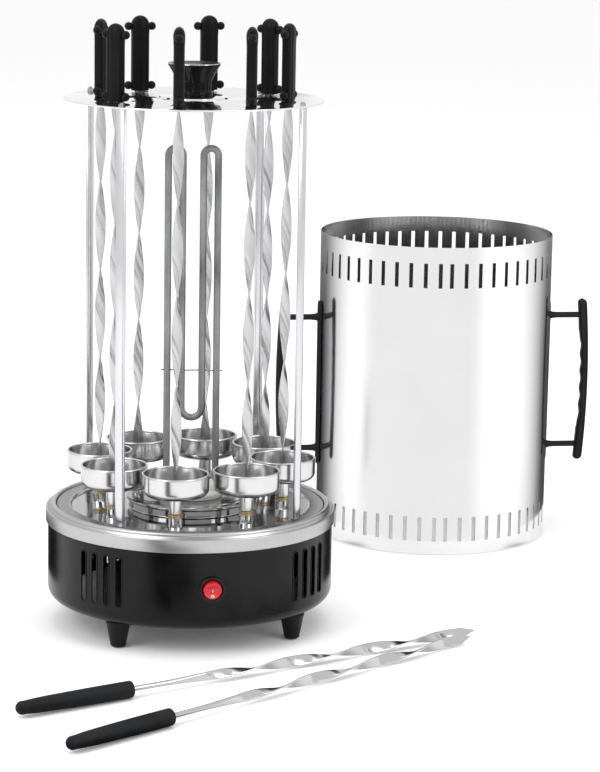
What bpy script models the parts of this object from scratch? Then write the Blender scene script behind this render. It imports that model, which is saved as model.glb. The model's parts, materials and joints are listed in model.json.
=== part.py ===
"""Upright electric rotisserie oven: a ring of eight self-turning skewers around a heater.

Metres, +Z up.  The table is z = 0.  The origin is on the table, below the middle of the
whole set: the oven itself, the slotted cover standing behind it to the right and two
loose skewers lying in front.
"""
import math

import bmesh
import bpy
from mathutils import Matrix

# ---- where the pieces stand on the table -----------------------------------------------
TOWER_AT = (-0.14145, -0.04345)
COVER_AT = (0.11755, 0.32355)
COVER_TURN = math.radians(7.0)
# butt end (x, y) and heading of each loose skewer
LOOSE_SKEWERS = (
    ((-0.28595, -0.35265), math.radians(31.8)),
    ((-0.23895, -0.44485), math.radians(42.3)),
)

# ---- driving dimensions ----------------------------------------------------------------
GAP = 0.0003            # between two pieces that touch
SHEET = 0.001           # wall of the pressed steel pieces

DRUM_RADIUS = 0.134
DRUM_BOTTOM = 0.025
DRUM_CORNER = 0.011
DRUM_TOP = 0.1082
DRUM_OPENING = 0.100

RIM_RADIUS = 0.136
RIM_BOTTOM = 0.0982
RIM_TOP = 0.1107
BEAD_RADIUS = 0.0024

DECK_TOP = 0.1134
DECK_EDGE = 0.1256
DECK_FLANGE = 0.1324
MIRROR_EDGE = 0.113
MIRROR_DEPTH = 0.0024
PLATFORM_RADIUS = 0.061
PLATFORM_TOP = 0.1208

FOOT_CIRCLE = 0.1152
FOOT_ANGLE = math.radians(-34.3)
POST_CIRCLE = 0.1169
POST_WIDTH = 0.010
POST_THICKNESS = 0.0045

DISC_RADIUS = 0.1203
DISC_BOTTOM = 0.4925
DISC_THICKNESS = 0.0015
DISC_BOSS_RADIUS = 0.0325
DISC_BOSS_HEIGHT = 0.002
DISC_HOLE_RADIUS = 0.0056

STATIONS = 8
STATION_CIRCLE = 0.087
FIRST_STATION = math.radians(-9.0)
# how far the skewer of each station is turned, from +X
SKEWER_TURNS = tuple(math.radians(a) for a in (90, 90, 49, -42, 0, 0, 75, -55))

SUN_TEETH = 32
PINION_TEETH = 12
GEAR_MODULE = 2 * STATION_CIRCLE / (SUN_TEETH + PINION_TEETH)
GEAR_LOW = 0.074
GEAR_HIGH = 0.082
BACKLASH = 0.0004

SPINDLE_RADIUS = 0.004
SPINDLE_TOP = 0.133
SPINDLE_BORE = 0.0044
BUSH_RADIUS = 0.0065
BUSH_TOP = 0.1228

CUP_RADIUS = 0.031
CUP_RIM = 0.161
CUP_FLOOR = 0.140
CUP_TUBE_RADIUS = 0.00625
CUP_TUBE_BOTTOM = 0.1231
CUP_HUB_RADIUS = 0.008
CUP_HUB_TOP = 0.147

BLADE_WIDTH = 0.010
BLADE_THICKNESS = 0.0015
BLADE_BOTTOM = 0.1353
BLADE_CLEARANCE = 0.0003
TWIST_START = 0.159
TWIST_END = 0.490
HALF_TWISTS = 4
POCKET_DEPTH = 0.026

HANDLE_HEIGHT = 0.070
HANDLE_WIDTH = 0.0174
HANDLE_PLATE = 0.0056
HANDLE_RIDGE = 0.0055
CROSSBAR_RADIUS = 0.00425
CROSSBAR_LENGTH = 0.030
CROSSBAR_HEIGHTS = (0.0048, 0.060)

HEATER_RADIUS = 0.0033
HEATER_OUTER = 0.023
HEATER_INNER = 0.0095
HEATER_TOP = 0.4512
HEATER_LOW_BEND = 0.195
HEATER_BOTTOM = 0.1065

SWITCH_ANGLE = math.radians(8.7)
SWITCH_HEIGHT = 0.0645
SWITCH_HOLE = 0.0101
BEZEL_RADIUS = 0.012
ROCKER_SPHERE = 0.0086
ROCKER_HALF = 0.0035
ROCKER_PIVOT = 0.0012
ROCKER_TILT = math.radians(10.0)

GLAND_HEIGHT = 0.045
GLAND_HOLE = 0.0070

VENT_HEIGHT = 0.047
VENT_WIDTH = 0.006
VENT_MIDDLE = 0.0662
VENT_PITCH = math.radians(5.85)
VENTS_IN_GROUP = 4
VENT_GROUPS = tuple(math.radians(a) for a in (-37.4, 55.0, 145.0, 235.0))

COVER_RADIUS = 0.123
COVER_HEIGHT = 0.3225
COVER_WALL = 0.0008
COVER_SLOTS = 51
COVER_SLOT_WIDTH = 0.004
COVER_SEAM = math.radians(-96.4)
COVER_SEAM_GAP = math.radians(5.4)  # between the middles of the slots beside the seam
COVER_SLOT_ROWS = ((0.014, 0.0395), (0.2805, 0.306))

GRIP_HEIGHT = 0.1765
GRIP_RADIUS = 0.0048
GRIP_REACH = 0.0475
GRIP_BULGE = 0.004
STEM_RADIUS = 0.004
STEM_SPREAD = 0.071
STRIP_WIDTH = 0.014
STRIP_THICKNESS = 0.0025
GRIP_MIDDLE = 0.1606

LOOSE_HANDLE = 0.112
LOOSE_HANDLE_RADIUS = 0.0075
LOOSE_BUTT_RADIUS = 0.0058
LOOSE_BLADE = 0.372
LOOSE_NECK = 0.0023
LOOSE_BUTT_HEIGHT = 0.00832
LOOSE_SLOPE = math.atan(0.0024 / 0.372)

ROUND_STEPS = 40        # sides of the big round pieces
SMALL_STEPS = 16        # sides of the cups, feet and knob


# ---- materials ---------------------------------------------------------------------------
def finish(name, colour, roughness, metallic):
    material = bpy.data.materials.new(name)
    material.use_nodes = True
    shader = material.node_tree.nodes["Principled BSDF"]
    shader.inputs["Base Color"].default_value = (*colour, 1.0)
    shader.inputs["Roughness"].default_value = roughness
    shader.inputs["Metallic"].default_value = metallic
    material.diffuse_color = (*colour, 1.0)
    return material


# ---- shape helpers -----------------------------------------------------------------------
def guide(mesh):
    """A working object: it is turned into a node's mesh, or cuts one, and is then removed."""
    body = bpy.data.objects.new(mesh.name, mesh)
    construction.objects.link(body)
    body.hide_render = True
    body.display_type = "WIRE"
    return body


def guide_from(shape):
    mesh = bpy.data.meshes.new("guide")
    shape.to_mesh(mesh)
    shape.free()
    return guide(mesh)


def turned(outline, steps, ring=False):
    """Turn an outline of (radius, height) points about Z; a ring's outline is closed."""
    mesh = bpy.data.meshes.new("turned")
    count = len(outline)
    edges = [(i, i + 1) for i in range(count - 1)]
    if ring:
        edges.append((count - 1, 0))
    mesh.from_pydata([(radius, 0.0, height) for radius, height in outline], edges, [])
    body = guide(mesh)
    screw = body.modifiers.new("turn", "SCREW")
    screw.axis = "Z"
    screw.steps = steps
    screw.render_steps = steps
    screw.use_merge_vertices = True
    screw.merge_threshold = 0.00001
    return body


def arc(centre, radius, start, end, count):
    """Points of an arc in the outline plane, angles in degrees from the +radius direction."""
    points = []
    for i in range(count + 1):
        angle = math.radians(start + (end - start) * i / count)
        points.append((centre[0] + radius * math.cos(angle), centre[1] + radius * math.sin(angle)))
    return points


def cylinder(radius, low, high, sides=SMALL_STEPS, place=Matrix()):
    shape = bmesh.new()
    bmesh.ops.create_cone(shape, cap_ends=True, segments=sides, radius1=radius, radius2=radius,
                          depth=high - low, matrix=Matrix.Translation((0, 0, (low + high) / 2)))
    bmesh.ops.transform(shape, matrix=place, verts=shape.verts)
    return guide_from(shape)


def box(size, centre, place=Matrix()):
    shape = bmesh.new()
    bmesh.ops.create_cube(shape, size=1.0)
    bmesh.ops.scale(shape, vec=size, verts=shape.verts)
    bmesh.ops.translate(shape, vec=centre, verts=shape.verts)
    bmesh.ops.transform(shape, matrix=place, verts=shape.verts)
    return guide_from(shape)


def mesh_of_curve(curve):
    """The curve's solid as a mesh with its loose caps welded on."""
    source = bpy.data.objects.new("curve", curve)
    construction.objects.link(source)
    solid = baked(source)
    shape = bmesh.new()
    shape.from_mesh(solid)
    bmesh.ops.remove_doubles(shape, verts=shape.verts, dist=0.00001)
    return guide_from(shape)


def poly_spline(curve, points, cyclic):
    spline = curve.splines.new("POLY")
    spline.points.add(len(points) - 1)
    for point, where in zip(spline.points, points):
        point.co = (*where, 1.0)
    spline.use_cyclic_u = cyclic


def plate(outline, low, high):
    """A flat outline of (x, y) points with a thickness from low to high."""
    curve = bpy.data.curves.new("plate", "CURVE")
    curve.dimensions = "2D"
    curve.fill_mode = "BOTH"
    curve.extrude = (high - low) / 2
    poly_spline(curve, [(x, y, 0.0) for x, y in outline], True)
    body = mesh_of_curve(curve)
    body.data.transform(Matrix.Translation((0, 0, (low + high) / 2)))
    return body


def rod_along(points, radius):
    """A round rod that follows a row of points."""
    curve = bpy.data.curves.new("rod", "CURVE")
    curve.dimensions = "3D"
    curve.bevel_depth = radius
    curve.bevel_resolution = 2
    curve.use_fill_caps = True
    poly_spline(curve, points, False)
    return mesh_of_curve(curve)


def stadium(width, length, count=4):
    """A slot outline with round ends, long along Y."""
    radius = width / 2
    middle = length / 2 - radius
    return arc((0, middle), radius, 0, 180, count) + arc((0, -middle), radius, 180, 360, count)


def baked(body):
    """The body's finished mesh; the body itself goes."""
    bpy.context.view_layer.update()
    depsgraph = bpy.context.evaluated_depsgraph_get()
    mesh = bpy.data.meshes.new_from_object(body.evaluated_get(depsgraph), depsgraph=depsgraph)
    bpy.data.objects.remove(body)
    return mesh


def combined(body, tools, operation):
    for tool in tools:
        boolean = body.modifiers.new(operation.lower(), "BOOLEAN")
        boolean.operation = operation
        boolean.solver = "EXACT"
        boolean.object = tool
    mesh = baked(body)
    for tool in tools:
        bpy.data.objects.remove(tool)
    return guide(mesh)


def cut(body, tools):
    return combined(body, tools, "DIFFERENCE")


def joined(body, tools):
    return combined(body, tools, "UNION")


def node(name, body, material, parent, turn=0.0):
    """Make a body into the named piece of the model."""
    mesh = baked(body)
    mesh.name = name
    mesh.materials.clear()
    mesh.materials.append(material)
    mesh.shade_smooth()
    mesh.set_sharp_from_angle(angle=math.radians(35))
    return node_of_mesh(name, mesh, parent, turn)


def node_of_mesh(name, mesh, parent, turn=0.0, height=0.0):
    piece = bpy.data.objects.new(name, mesh)
    model.objects.link(piece)
    piece.parent = parent
    piece.rotation_euler.z = turn
    piece.location.z = height
    return piece


def empty(name, location, rotation=(0.0, 0.0, 0.0), parent=None):
    pivot = bpy.data.objects.new(name, None)
    pivot.empty_display_size = 0.02
    pivot.location = location
    pivot.rotation_euler = rotation
    pivot.parent = parent
    model.objects.link(pivot)
    return pivot


def on_circle(radius, angle, height=0.0):
    """A place around the oven's axis; the angle runs from the front (-Y) towards +X."""
    return (radius * math.sin(angle), -radius * math.cos(angle), height)


def around(radius, angle, height=0.0):
    """A frame on that circle, its X outwards and its Z up."""
    heading = Matrix.Rotation(angle - math.pi / 2, 4, "Z")
    return Matrix.Translation(on_circle(radius, angle, height)) @ heading


def facing_out(radius, angle, height):
    """A frame on that circle, its Z outwards, its Y up and its X to the right."""
    upright = Matrix.Rotation(angle, 4, "Z") @ Matrix.Rotation(math.pi / 2, 4, "X")
    return Matrix.Translation(on_circle(radius, angle, height)) @ upright


def station_angle(i):
    return FIRST_STATION + i * 2 * math.pi / STATIONS


def station_frames():
    """Frames for the round cutters; turned so that no corner meets an edge of the sheet."""
    offset = Matrix.Rotation(math.radians(7.5), 4, "Z")
    return [around(STATION_CIRCLE, station_angle(i)) @ offset for i in range(STATIONS)]


# ---- base --------------------------------------------------------------------------------
def make_feet(tower, rubber):
    top = DRUM_BOTTOM - GAP
    outline = [(0.0, top), (0.0115, top), (0.0112, top - 0.004)]
    outline += arc((0.0045, 0.0025), 0.0025, 0, -90, 3)
    outline += [(0.0, 0.0)]
    foot = turned(outline, SMALL_STEPS)
    mesh = node("foot_1", foot, rubber, tower).data
    for i in range(4):
        name = f"foot_{i + 1}"
        piece = model.objects.get(name) or node_of_mesh(name, mesh, tower)
        piece.location = on_circle(FOOT_CIRCLE, FOOT_ANGLE + i * math.pi / 2)


def make_drum(tower, black):
    flat = DRUM_RADIUS - DRUM_CORNER
    corner = (flat, DRUM_BOTTOM + DRUM_CORNER)
    outline = [(DRUM_RADIUS, DRUM_TOP)]
    outline += arc(corner, DRUM_CORNER, 0, -90, 3)
    outline += [(DRUM_OPENING, DRUM_BOTTOM), (DRUM_OPENING, DRUM_BOTTOM + SHEET)]
    outline += arc(corner, DRUM_CORNER - SHEET, -90, 0, 3)
    outline += [(DRUM_RADIUS - SHEET, DRUM_TOP)]
    tools = []
    for group in VENT_GROUPS:
        for i in range(VENTS_IN_GROUP):
            angle = group + (i - (VENTS_IN_GROUP - 1) / 2) * VENT_PITCH
            slot = plate(stadium(VENT_WIDTH, VENT_HEIGHT), -0.004, 0.004)
            slot.data.transform(facing_out(DRUM_RADIUS, angle, VENT_MIDDLE))
            tools.append(slot)
    switch = facing_out(DRUM_RADIUS, SWITCH_ANGLE, SWITCH_HEIGHT)
    tools.append(cylinder(SWITCH_HOLE, -0.004, 0.004, place=switch))
    gland = facing_out(DRUM_RADIUS, math.pi, GLAND_HEIGHT)
    tools.append(cylinder(GLAND_HOLE, -0.004, 0.004, place=gland))
    node("base_drum", cut(turned(outline, ROUND_STEPS, ring=True), tools), black, tower)


def make_bottom_plate(tower, steel):
    low = DRUM_BOTTOM + SHEET + GAP
    node("bottom_plate", cylinder(0.115, low, low + 0.0015, ROUND_STEPS), steel, tower)


def make_rim(tower, aluminium):
    """The outer band, a groove and the rolled bead that holds the deck down."""
    bead = (DECK_EDGE + 0.0006 + BEAD_RADIUS, DECK_TOP - 0.0004)
    under = DRUM_TOP + 0.0004
    inside = DRUM_RADIUS + 0.0004
    outline = arc(bead, BEAD_RADIUS, 180, 0, 4)
    outline += [(0.1318, RIM_TOP - 0.001), (0.1334, RIM_TOP - 0.001), (0.1346, RIM_TOP)]
    outline += [(RIM_RADIUS - 0.0005, RIM_TOP), (RIM_RADIUS, RIM_TOP - 0.0005)]
    outline += [(RIM_RADIUS, RIM_BOTTOM), (inside, RIM_BOTTOM), (inside, under)]
    outline += [(DECK_EDGE + 0.0006, under)]
    node("rim_ring", turned(outline, ROUND_STEPS, ring=True), aluminium, tower)


def make_deck(tower, steel):
    """The pressed deck: a satin border, a mirror-bright trough and a raised platform."""
    mirror = DECK_TOP - MIRROR_DEPTH
    outline = [(0.0, PLATFORM_TOP), (PLATFORM_RADIUS - 0.0012, PLATFORM_TOP)]
    outline += [(PLATFORM_RADIUS, PLATFORM_TOP - 0.001), (PLATFORM_RADIUS + 0.001, mirror)]
    outline += [(MIRROR_EDGE - 0.001, mirror), (MIRROR_EDGE, DECK_TOP), (DECK_EDGE, DECK_TOP)]
    outline += [(DECK_EDGE, DRUM_TOP), (DECK_FLANGE, DRUM_TOP), (DECK_FLANGE, DRUM_TOP - SHEET)]
    outline += [(DECK_EDGE - SHEET, DRUM_TOP - SHEET), (DECK_EDGE - SHEET, DECK_TOP - SHEET)]
    outline += [(MIRROR_EDGE + 0.0006, DECK_TOP - SHEET), (MIRROR_EDGE, mirror - SHEET)]
    outline += [(PLATFORM_RADIUS, mirror - SHEET)]
    outline += [(PLATFORM_RADIUS - 0.0016, PLATFORM_TOP - SHEET), (0.0, PLATFORM_TOP - SHEET)]
    bearings = [cylinder(BUSH_RADIUS, 0.104, BUSH_TOP, 12, frame) for frame in station_frames()]
    bores = [cylinder(SPINDLE_BORE, 0.1, 0.13, 12, frame) for frame in station_frames()]
    for side in (-HEATER_OUTER, HEATER_OUTER):
        bores.append(cylinder(HEATER_RADIUS + GAP, 0.1, 0.13, 12, Matrix.Translation((side, 0, 0))))
    body = joined(turned(outline, ROUND_STEPS), bearings)
    node("deck_plate", cut(body, bores), steel, tower)


def make_posts(tower, steel):
    for i in range(4):
        angle = FOOT_ANGLE + math.radians(1.1) + i * math.pi / 2
        shape = Matrix.Diagonal((POST_THICKNESS / 2, POST_WIDTH / 2, 1.0, 1.0))
        place = around(POST_CIRCLE, angle) @ shape
        post = cylinder(1.0, DECK_TOP + GAP, DISC_BOTTOM - GAP, 12, place)
        node(f"post_{i + 1}", post, steel, tower)


def make_disc(tower, steel):
    top = DISC_BOTTOM + DISC_THICKNESS
    boss = DISC_BOSS_RADIUS
    outline = [(0.0, top + DISC_BOSS_HEIGHT), (boss - 0.001, top + DISC_BOSS_HEIGHT)]
    outline += [(boss, top + DISC_BOSS_HEIGHT - 0.001), (boss, top), (DISC_RADIUS, top)]
    outline += [(DISC_RADIUS, DISC_BOTTOM), (0.0, DISC_BOTTOM)]
    holes = [cylinder(DISC_HOLE_RADIUS, 0.48, 0.51, 12, frame) for frame in station_frames()]
    node("top_disc", cut(turned(outline, ROUND_STEPS), holes), steel, tower)


def make_knob(tower, black):
    """The funnel-shaped knob that the disc is lifted by."""
    low = DISC_BOTTOM + DISC_THICKNESS + DISC_BOSS_HEIGHT + GAP
    outline = [(0.0, low + 0.0285), (0.020, low + 0.0290), (0.0226, low + 0.0300)]
    outline += [(0.02425, low + 0.0290), (0.0225, low + 0.0225), (0.0170, low + 0.0140)]
    outline += [(0.0155, low + 0.0090), (0.0158, low + 0.0050), (0.0170, low + 0.0045)]
    outline += [(0.0170, low), (0.0, low)]
    node("top_knob", turned(outline, SMALL_STEPS + 4), black, tower)


# ---- drive -------------------------------------------------------------------------------
def gear_outline(teeth):
    """Straight-flanked teeth; tooth 0 points along +X."""
    pitch_radius = GEAR_MODULE * teeth / 2
    root = pitch_radius - 1.25 * GEAR_MODULE
    tip = pitch_radius + 0.85 * GEAR_MODULE
    thickness = math.pi * GEAR_MODULE / 2 - BACKLASH
    points = []
    for i in range(teeth):
        middle = 2 * math.pi * i / teeth
        for radius, share, side in ((root, 1.45, -1), (tip, 0.42, -1), (tip, 0.42, 1), (root, 1.45, 1)):
            angle = middle + side * share * thickness / 2 / pitch_radius
            points.append((radius * math.cos(angle), radius * math.sin(angle)))
    return points


def make_motor(tower, grey):
    low = DRUM_BOTTOM + 2 * SHEET + 0.0013
    body = cylinder(0.030, low, 0.060, 20)
    node("gear_motor", joined(body, [cylinder(0.005, 0.050, 0.086, 12)]), grey, tower)


def make_sun_gear(tower, plastic):
    body = plate(gear_outline(SUN_TEETH), GEAR_LOW, GEAR_HIGH)
    body = joined(body, [cylinder(0.012, 0.0605, 0.084)])
    body = cut(body, [cylinder(0.0053, 0.05, 0.09, 12)])
    node("sun_gear", body, plastic, tower, turn=FIRST_STATION - math.pi / 2)


def make_spindles(stations, steel):
    """Pinion and shaft in one piece; a tooth gap faces the sun gear's tooth."""
    body = plate(gear_outline(PINION_TEETH), GEAR_LOW, GEAR_HIGH)
    body = joined(body, [cylinder(SPINDLE_RADIUS, 0.062, SPINDLE_TOP, 8)])
    half_tooth = math.pi / PINION_TEETH
    mesh = node("drive_spindle_1", body, steel, stations[0], turn=half_tooth).data
    for i in range(1, STATIONS):
        node_of_mesh(f"drive_spindle_{i + 1}", mesh, stations[i], turn=half_tooth)


# ---- skewer stations ---------------------------------------------------------------------
def skewer_turn(i):
    """The skewer's turn inside its station, whose own X points away from the oven's axis."""
    return SKEWER_TURNS[i] - (station_angle(i) - math.pi / 2)


def make_cups(stations, steel):
    """A drip cup on a short tube; its hub has the slot that drives the blade."""
    floor = CUP_FLOOR + SHEET
    outline = [(0.0, CUP_HUB_TOP), (CUP_HUB_RADIUS, CUP_HUB_TOP), (CUP_HUB_RADIUS, floor)]
    outline += [(CUP_RADIUS - 0.004, floor), (CUP_RADIUS - SHEET, floor + 0.003)]
    outline += [(CUP_RADIUS - SHEET, CUP_RIM), (CUP_RADIUS, CUP_RIM)]
    outline += [(CUP_RADIUS, floor + 0.0025), (CUP_RADIUS - 0.0035, CUP_FLOOR)]
    outline += [(CUP_TUBE_RADIUS, CUP_FLOOR), (CUP_TUBE_RADIUS, CUP_TUBE_BOTTOM)]
    outline += [(SPINDLE_BORE, CUP_TUBE_BOTTOM), (SPINDLE_BORE, SPINDLE_TOP + GAP)]
    outline += [(0.0, SPINDLE_TOP + GAP)]
    slot_low = BLADE_BOTTOM - GAP
    slot_size = (BLADE_WIDTH + 2 * BLADE_CLEARANCE, BLADE_THICKNESS + 2 * BLADE_CLEARANCE, 0.02)
    slot = box(slot_size, (0, 0, slot_low + 0.01))
    body = cut(turned(outline, SMALL_STEPS), [slot])
    mesh = node("drip_cup_1", body, steel, stations[0], turn=skewer_turn(0)).data
    for i in range(1, STATIONS):
        node_of_mesh(f"drip_cup_{i + 1}", mesh, stations[i], turn=skewer_turn(i))


def lofted_bar(sections):
    """A bar through rings of (x, y) points, each at its own height."""
    shape = bmesh.new()
    rings = []
    for height, points in sections:
        rings.append([shape.verts.new((x, y, height)) for x, y in points])
    count = len(rings[0])
    for lower, upper in zip(rings, rings[1:]):
        for k in range(count):
            after = (k + 1) % count
            a, b, c, d = lower[k], lower[after], upper[after], upper[k]
            if k < count // 2:  # opposite sides take parallel diagonals, so the bar keeps its thickness
                shape.faces.new((a, b, c))
                shape.faces.new((a, c, d))
            else:
                shape.faces.new((a, b, d))
                shape.faces.new((b, c, d))
    shape.faces.new(reversed(rings[0]))
    shape.faces.new(rings[-1])
    return guide_from(shape)


def turned_points(points, angle):
    cosine = math.cos(angle)
    sine = math.sin(angle)
    return [(x * cosine - y * sine, x * sine + y * cosine) for x, y in points]


def make_skewer_blades(stations, steel):
    top = DISC_BOTTOM + DISC_THICKNESS + GAP + POCKET_DEPTH - GAP
    half_width = BLADE_WIDTH / 2
    half_thickness = BLADE_THICKNESS / 2
    corners = [(half_width, -half_thickness), (half_width, half_thickness)]
    corners += [(-half_width, half_thickness), (-half_width, -half_thickness)]
    steps = 12 * HALF_TWISTS
    sections = [(BLADE_BOTTOM, corners)]
    for i in range(steps + 1):
        height = TWIST_START + (TWIST_END - TWIST_START) * i / steps
        sections.append((height, turned_points(corners, math.pi * HALF_TWISTS * i / steps)))
    sections.append((top, corners))
    mesh = node("skewer_blade_1", lofted_bar(sections), steel, stations[0], turn=skewer_turn(0)).data
    for i in range(1, STATIONS):
        node_of_mesh(f"skewer_blade_{i + 1}", mesh, stations[i], turn=skewer_turn(i))


def make_skewer_handles(stations, black):
    """A flat grip with a round spine and two crossbars, standing on the disc."""
    low = DISC_BOTTOM + DISC_THICKNESS + GAP
    high = low + HANDLE_HEIGHT
    dome = [(0.0, high), (0.003, high - 0.0006), (HANDLE_RIDGE, high - 0.0035)]
    spine = turned(dome + [(HANDLE_RIDGE, low), (0.0, low)], 12)
    shoulder = high - 0.004
    grip = box((HANDLE_WIDTH, HANDLE_PLATE, shoulder - low), (0, 0, (low + shoulder) / 2))
    across = Matrix.Rotation(math.pi / 2, 4, "Y")
    crossbars = []
    for height in CROSSBAR_HEIGHTS:
        place = Matrix.Translation((0, 0, low + height)) @ across
        half = CROSSBAR_LENGTH / 2
        crossbars.append(cylinder(CROSSBAR_RADIUS, -half, half, 8, place))
    body = joined(spine, [grip] + crossbars)
    pocket_size = (BLADE_WIDTH + 2 * BLADE_CLEARANCE, BLADE_THICKNESS + 2 * BLADE_CLEARANCE)
    pocket = box((*pocket_size, 2 * POCKET_DEPTH), (0, 0, low))
    mesh = node("skewer_handle_1", cut(body, [pocket]), black, stations[0], turn=skewer_turn(0)).data
    for i in range(1, STATIONS):
        node_of_mesh(f"skewer_handle_{i + 1}", mesh, stations[i], turn=skewer_turn(i))


# ---- heater ------------------------------------------------------------------------------
def heater_route():
    """One rod bent into an M: two outer legs, two crowns and a low bend between."""
    crown = (HEATER_OUTER - HEATER_INNER) / 2
    crown_middle = (HEATER_OUTER + HEATER_INNER) / 2
    leg_top = HEATER_TOP - HEATER_RADIUS - crown
    half = [(HEATER_OUTER, HEATER_BOTTOM)]
    half += arc((crown_middle, leg_top), crown, 0, 180, 6)
    half += arc((0.0, HEATER_LOW_BEND + HEATER_INNER), HEATER_INNER, 0, -90, 3)
    other = [(-x, z) for x, z in reversed(half[:-1])]
    return [(x, 0.0, z) for x, z in half + other]


def make_heater(tower, grey, ceramic):
    node("heater_element", rod_along(heater_route(), HEATER_RADIUS), grey, tower)
    body = cylinder(0.030, PLATFORM_TOP + GAP, PLATFORM_TOP + 0.005, 24)
    holes = []
    for side in (-HEATER_OUTER, HEATER_OUTER):
        place = Matrix.Translation((side, 0, 0))
        holes.append(cylinder(HEATER_RADIUS + GAP, 0.11, 0.13, 12, place))
    node("heater_base", cut(body, holes), ceramic, tower)


# ---- switch and cord gland ---------------------------------------------------------------
def radial_empty(name, tower, angle, height):
    rotation = (math.pi / 2, 0.0, angle)
    return empty(name, on_circle(DRUM_RADIUS, angle, height), rotation, tower)


def make_switch(tower, black, red):
    axis = radial_empty("switch_axis", tower, SWITCH_ANGLE, SWITCH_HEIGHT)
    barrel = SWITCH_HOLE - GAP
    bore = ROCKER_SPHERE + GAP
    outline = [(bore, 0.0030), (BEZEL_RADIUS - 0.001, 0.0030), (BEZEL_RADIUS, 0.0018)]
    outline += [(BEZEL_RADIUS, 0.0005), (barrel, 0.0005), (barrel, -0.012), (bore, -0.012)]
    node("switch_bezel", turned(outline, 20, ring=True), black, axis)
    edge = math.degrees(math.asin(ROCKER_HALF / ROCKER_SPHERE))
    sides = arc((0.0, 0.0), ROCKER_SPHERE, edge, -edge, 4)
    rocker = turned([(0.0, ROCKER_HALF)] + sides + [(0.0, -ROCKER_HALF)], 20)
    piece = node("switch_rocker", rocker, red, axis)
    piece.location.z = ROCKER_PIVOT
    piece.rotation_euler.x = ROCKER_TILT


def make_cord_gland(tower, black):
    axis = radial_empty("gland_axis", tower, math.pi, GLAND_HEIGHT)
    barrel = GLAND_HOLE - GAP
    outline = [(0.0035, 0.009), (0.0050, 0.009), (0.0060, 0.0025), (0.0095, 0.0025)]
    outline += [(0.0095, 0.0005), (barrel, 0.0005), (barrel, -0.008), (0.0035, -0.008)]
    node("cord_gland", turned(outline, SMALL_STEPS, ring=True), black, axis)


# ---- cover -------------------------------------------------------------------------------
def slotted_wall():
    """The cover's rolled sheet, with two rows of slots that go round from its seam."""
    pitch = (2 * math.pi - COVER_SEAM_GAP) / (COVER_SLOTS - 1)
    half_slot = COVER_SLOT_WIDTH / COVER_RADIUS / 2
    heights = [0.0]
    for low, high in COVER_SLOT_ROWS:
        heights += [low, high]
    heights.append(COVER_HEIGHT)
    shape = bmesh.new()
    columns = []
    for i in range(COVER_SLOTS):
        middle = COVER_SEAM + COVER_SEAM_GAP / 2 + i * pitch
        for turn in (middle - half_slot, middle + half_slot):
            x = COVER_RADIUS * math.cos(turn)
            y = COVER_RADIUS * math.sin(turn)
            columns.append([shape.verts.new((x, y, z)) for z in heights])
    count = len(columns)
    for c in range(count):
        left = columns[c]
        right = columns[(c + 1) % count]
        for row in range(len(heights) - 1):
            is_slot = c % 2 == 0 and row % 2 == 1
            if not is_slot:
                shape.faces.new((left[row], right[row], right[row + 1], left[row + 1]))
    return guide_from(shape)


def make_cover(steel):
    axis = empty("cover_axis", (*COVER_AT, 0.0), (0.0, 0.0, COVER_TURN))
    wall = slotted_wall()
    solidify = wall.modifiers.new("wall", "SOLIDIFY")
    solidify.thickness = COVER_WALL
    solidify.offset = -1.0
    node("cover_shell", wall, steel, axis)
    return axis


def make_cover_handles(axis, black):
    """A backing strip on the wall, two stems and a grip that bulges outwards."""
    back = COVER_RADIUS + 0.0004
    strip = box((STRIP_THICKNESS, STRIP_WIDTH, GRIP_HEIGHT), (back + STRIP_THICKNESS / 2, 0, 0))
    grip_middle = COVER_RADIUS + GRIP_REACH - GRIP_RADIUS
    route = []
    for i in range(9):
        along = 2 * i / 8 - 1
        bulge = GRIP_BULGE * (1 - along * along)
        route.append((grip_middle - GRIP_BULGE + bulge, 0.0, along * GRIP_HEIGHT / 2))
    outwards = Matrix.Rotation(math.pi / 2, 4, "Y")
    stems = []
    for height in (-STEM_SPREAD, STEM_SPREAD):
        place = Matrix.Translation((0, 0, height)) @ outwards
        stems.append(cylinder(STEM_RADIUS, back + 0.001, grip_middle - 0.003, 10, place))
    body = joined(strip, stems + [rod_along(route, GRIP_RADIUS)])
    body.data.transform(Matrix.Translation((0, 0, GRIP_MIDDLE)))
    mesh = node("cover_handle_right", body, black, axis).data
    node_of_mesh("cover_handle_left", mesh, axis, turn=math.pi)


# ---- loose skewers -----------------------------------------------------------------------
def loose_section(along):
    """Half width, half thickness and twist of a loose blade at a share of its length."""
    widen = min(max((along - 0.10) / 0.20, 0.0), 1.0)
    point = min((1.0 - along) / 0.04, 1.0)
    half_width = LOOSE_NECK + (BLADE_WIDTH / 2 - LOOSE_NECK) * widen
    half_thickness = LOOSE_NECK + (BLADE_THICKNESS / 2 - LOOSE_NECK) * widen
    twist = math.pi * LOOSE_BLADE / 0.085 * max(along - 0.2, 0.0)
    return half_width * (0.12 + 0.88 * point), half_thickness * (0.4 + 0.6 * point), twist


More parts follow.
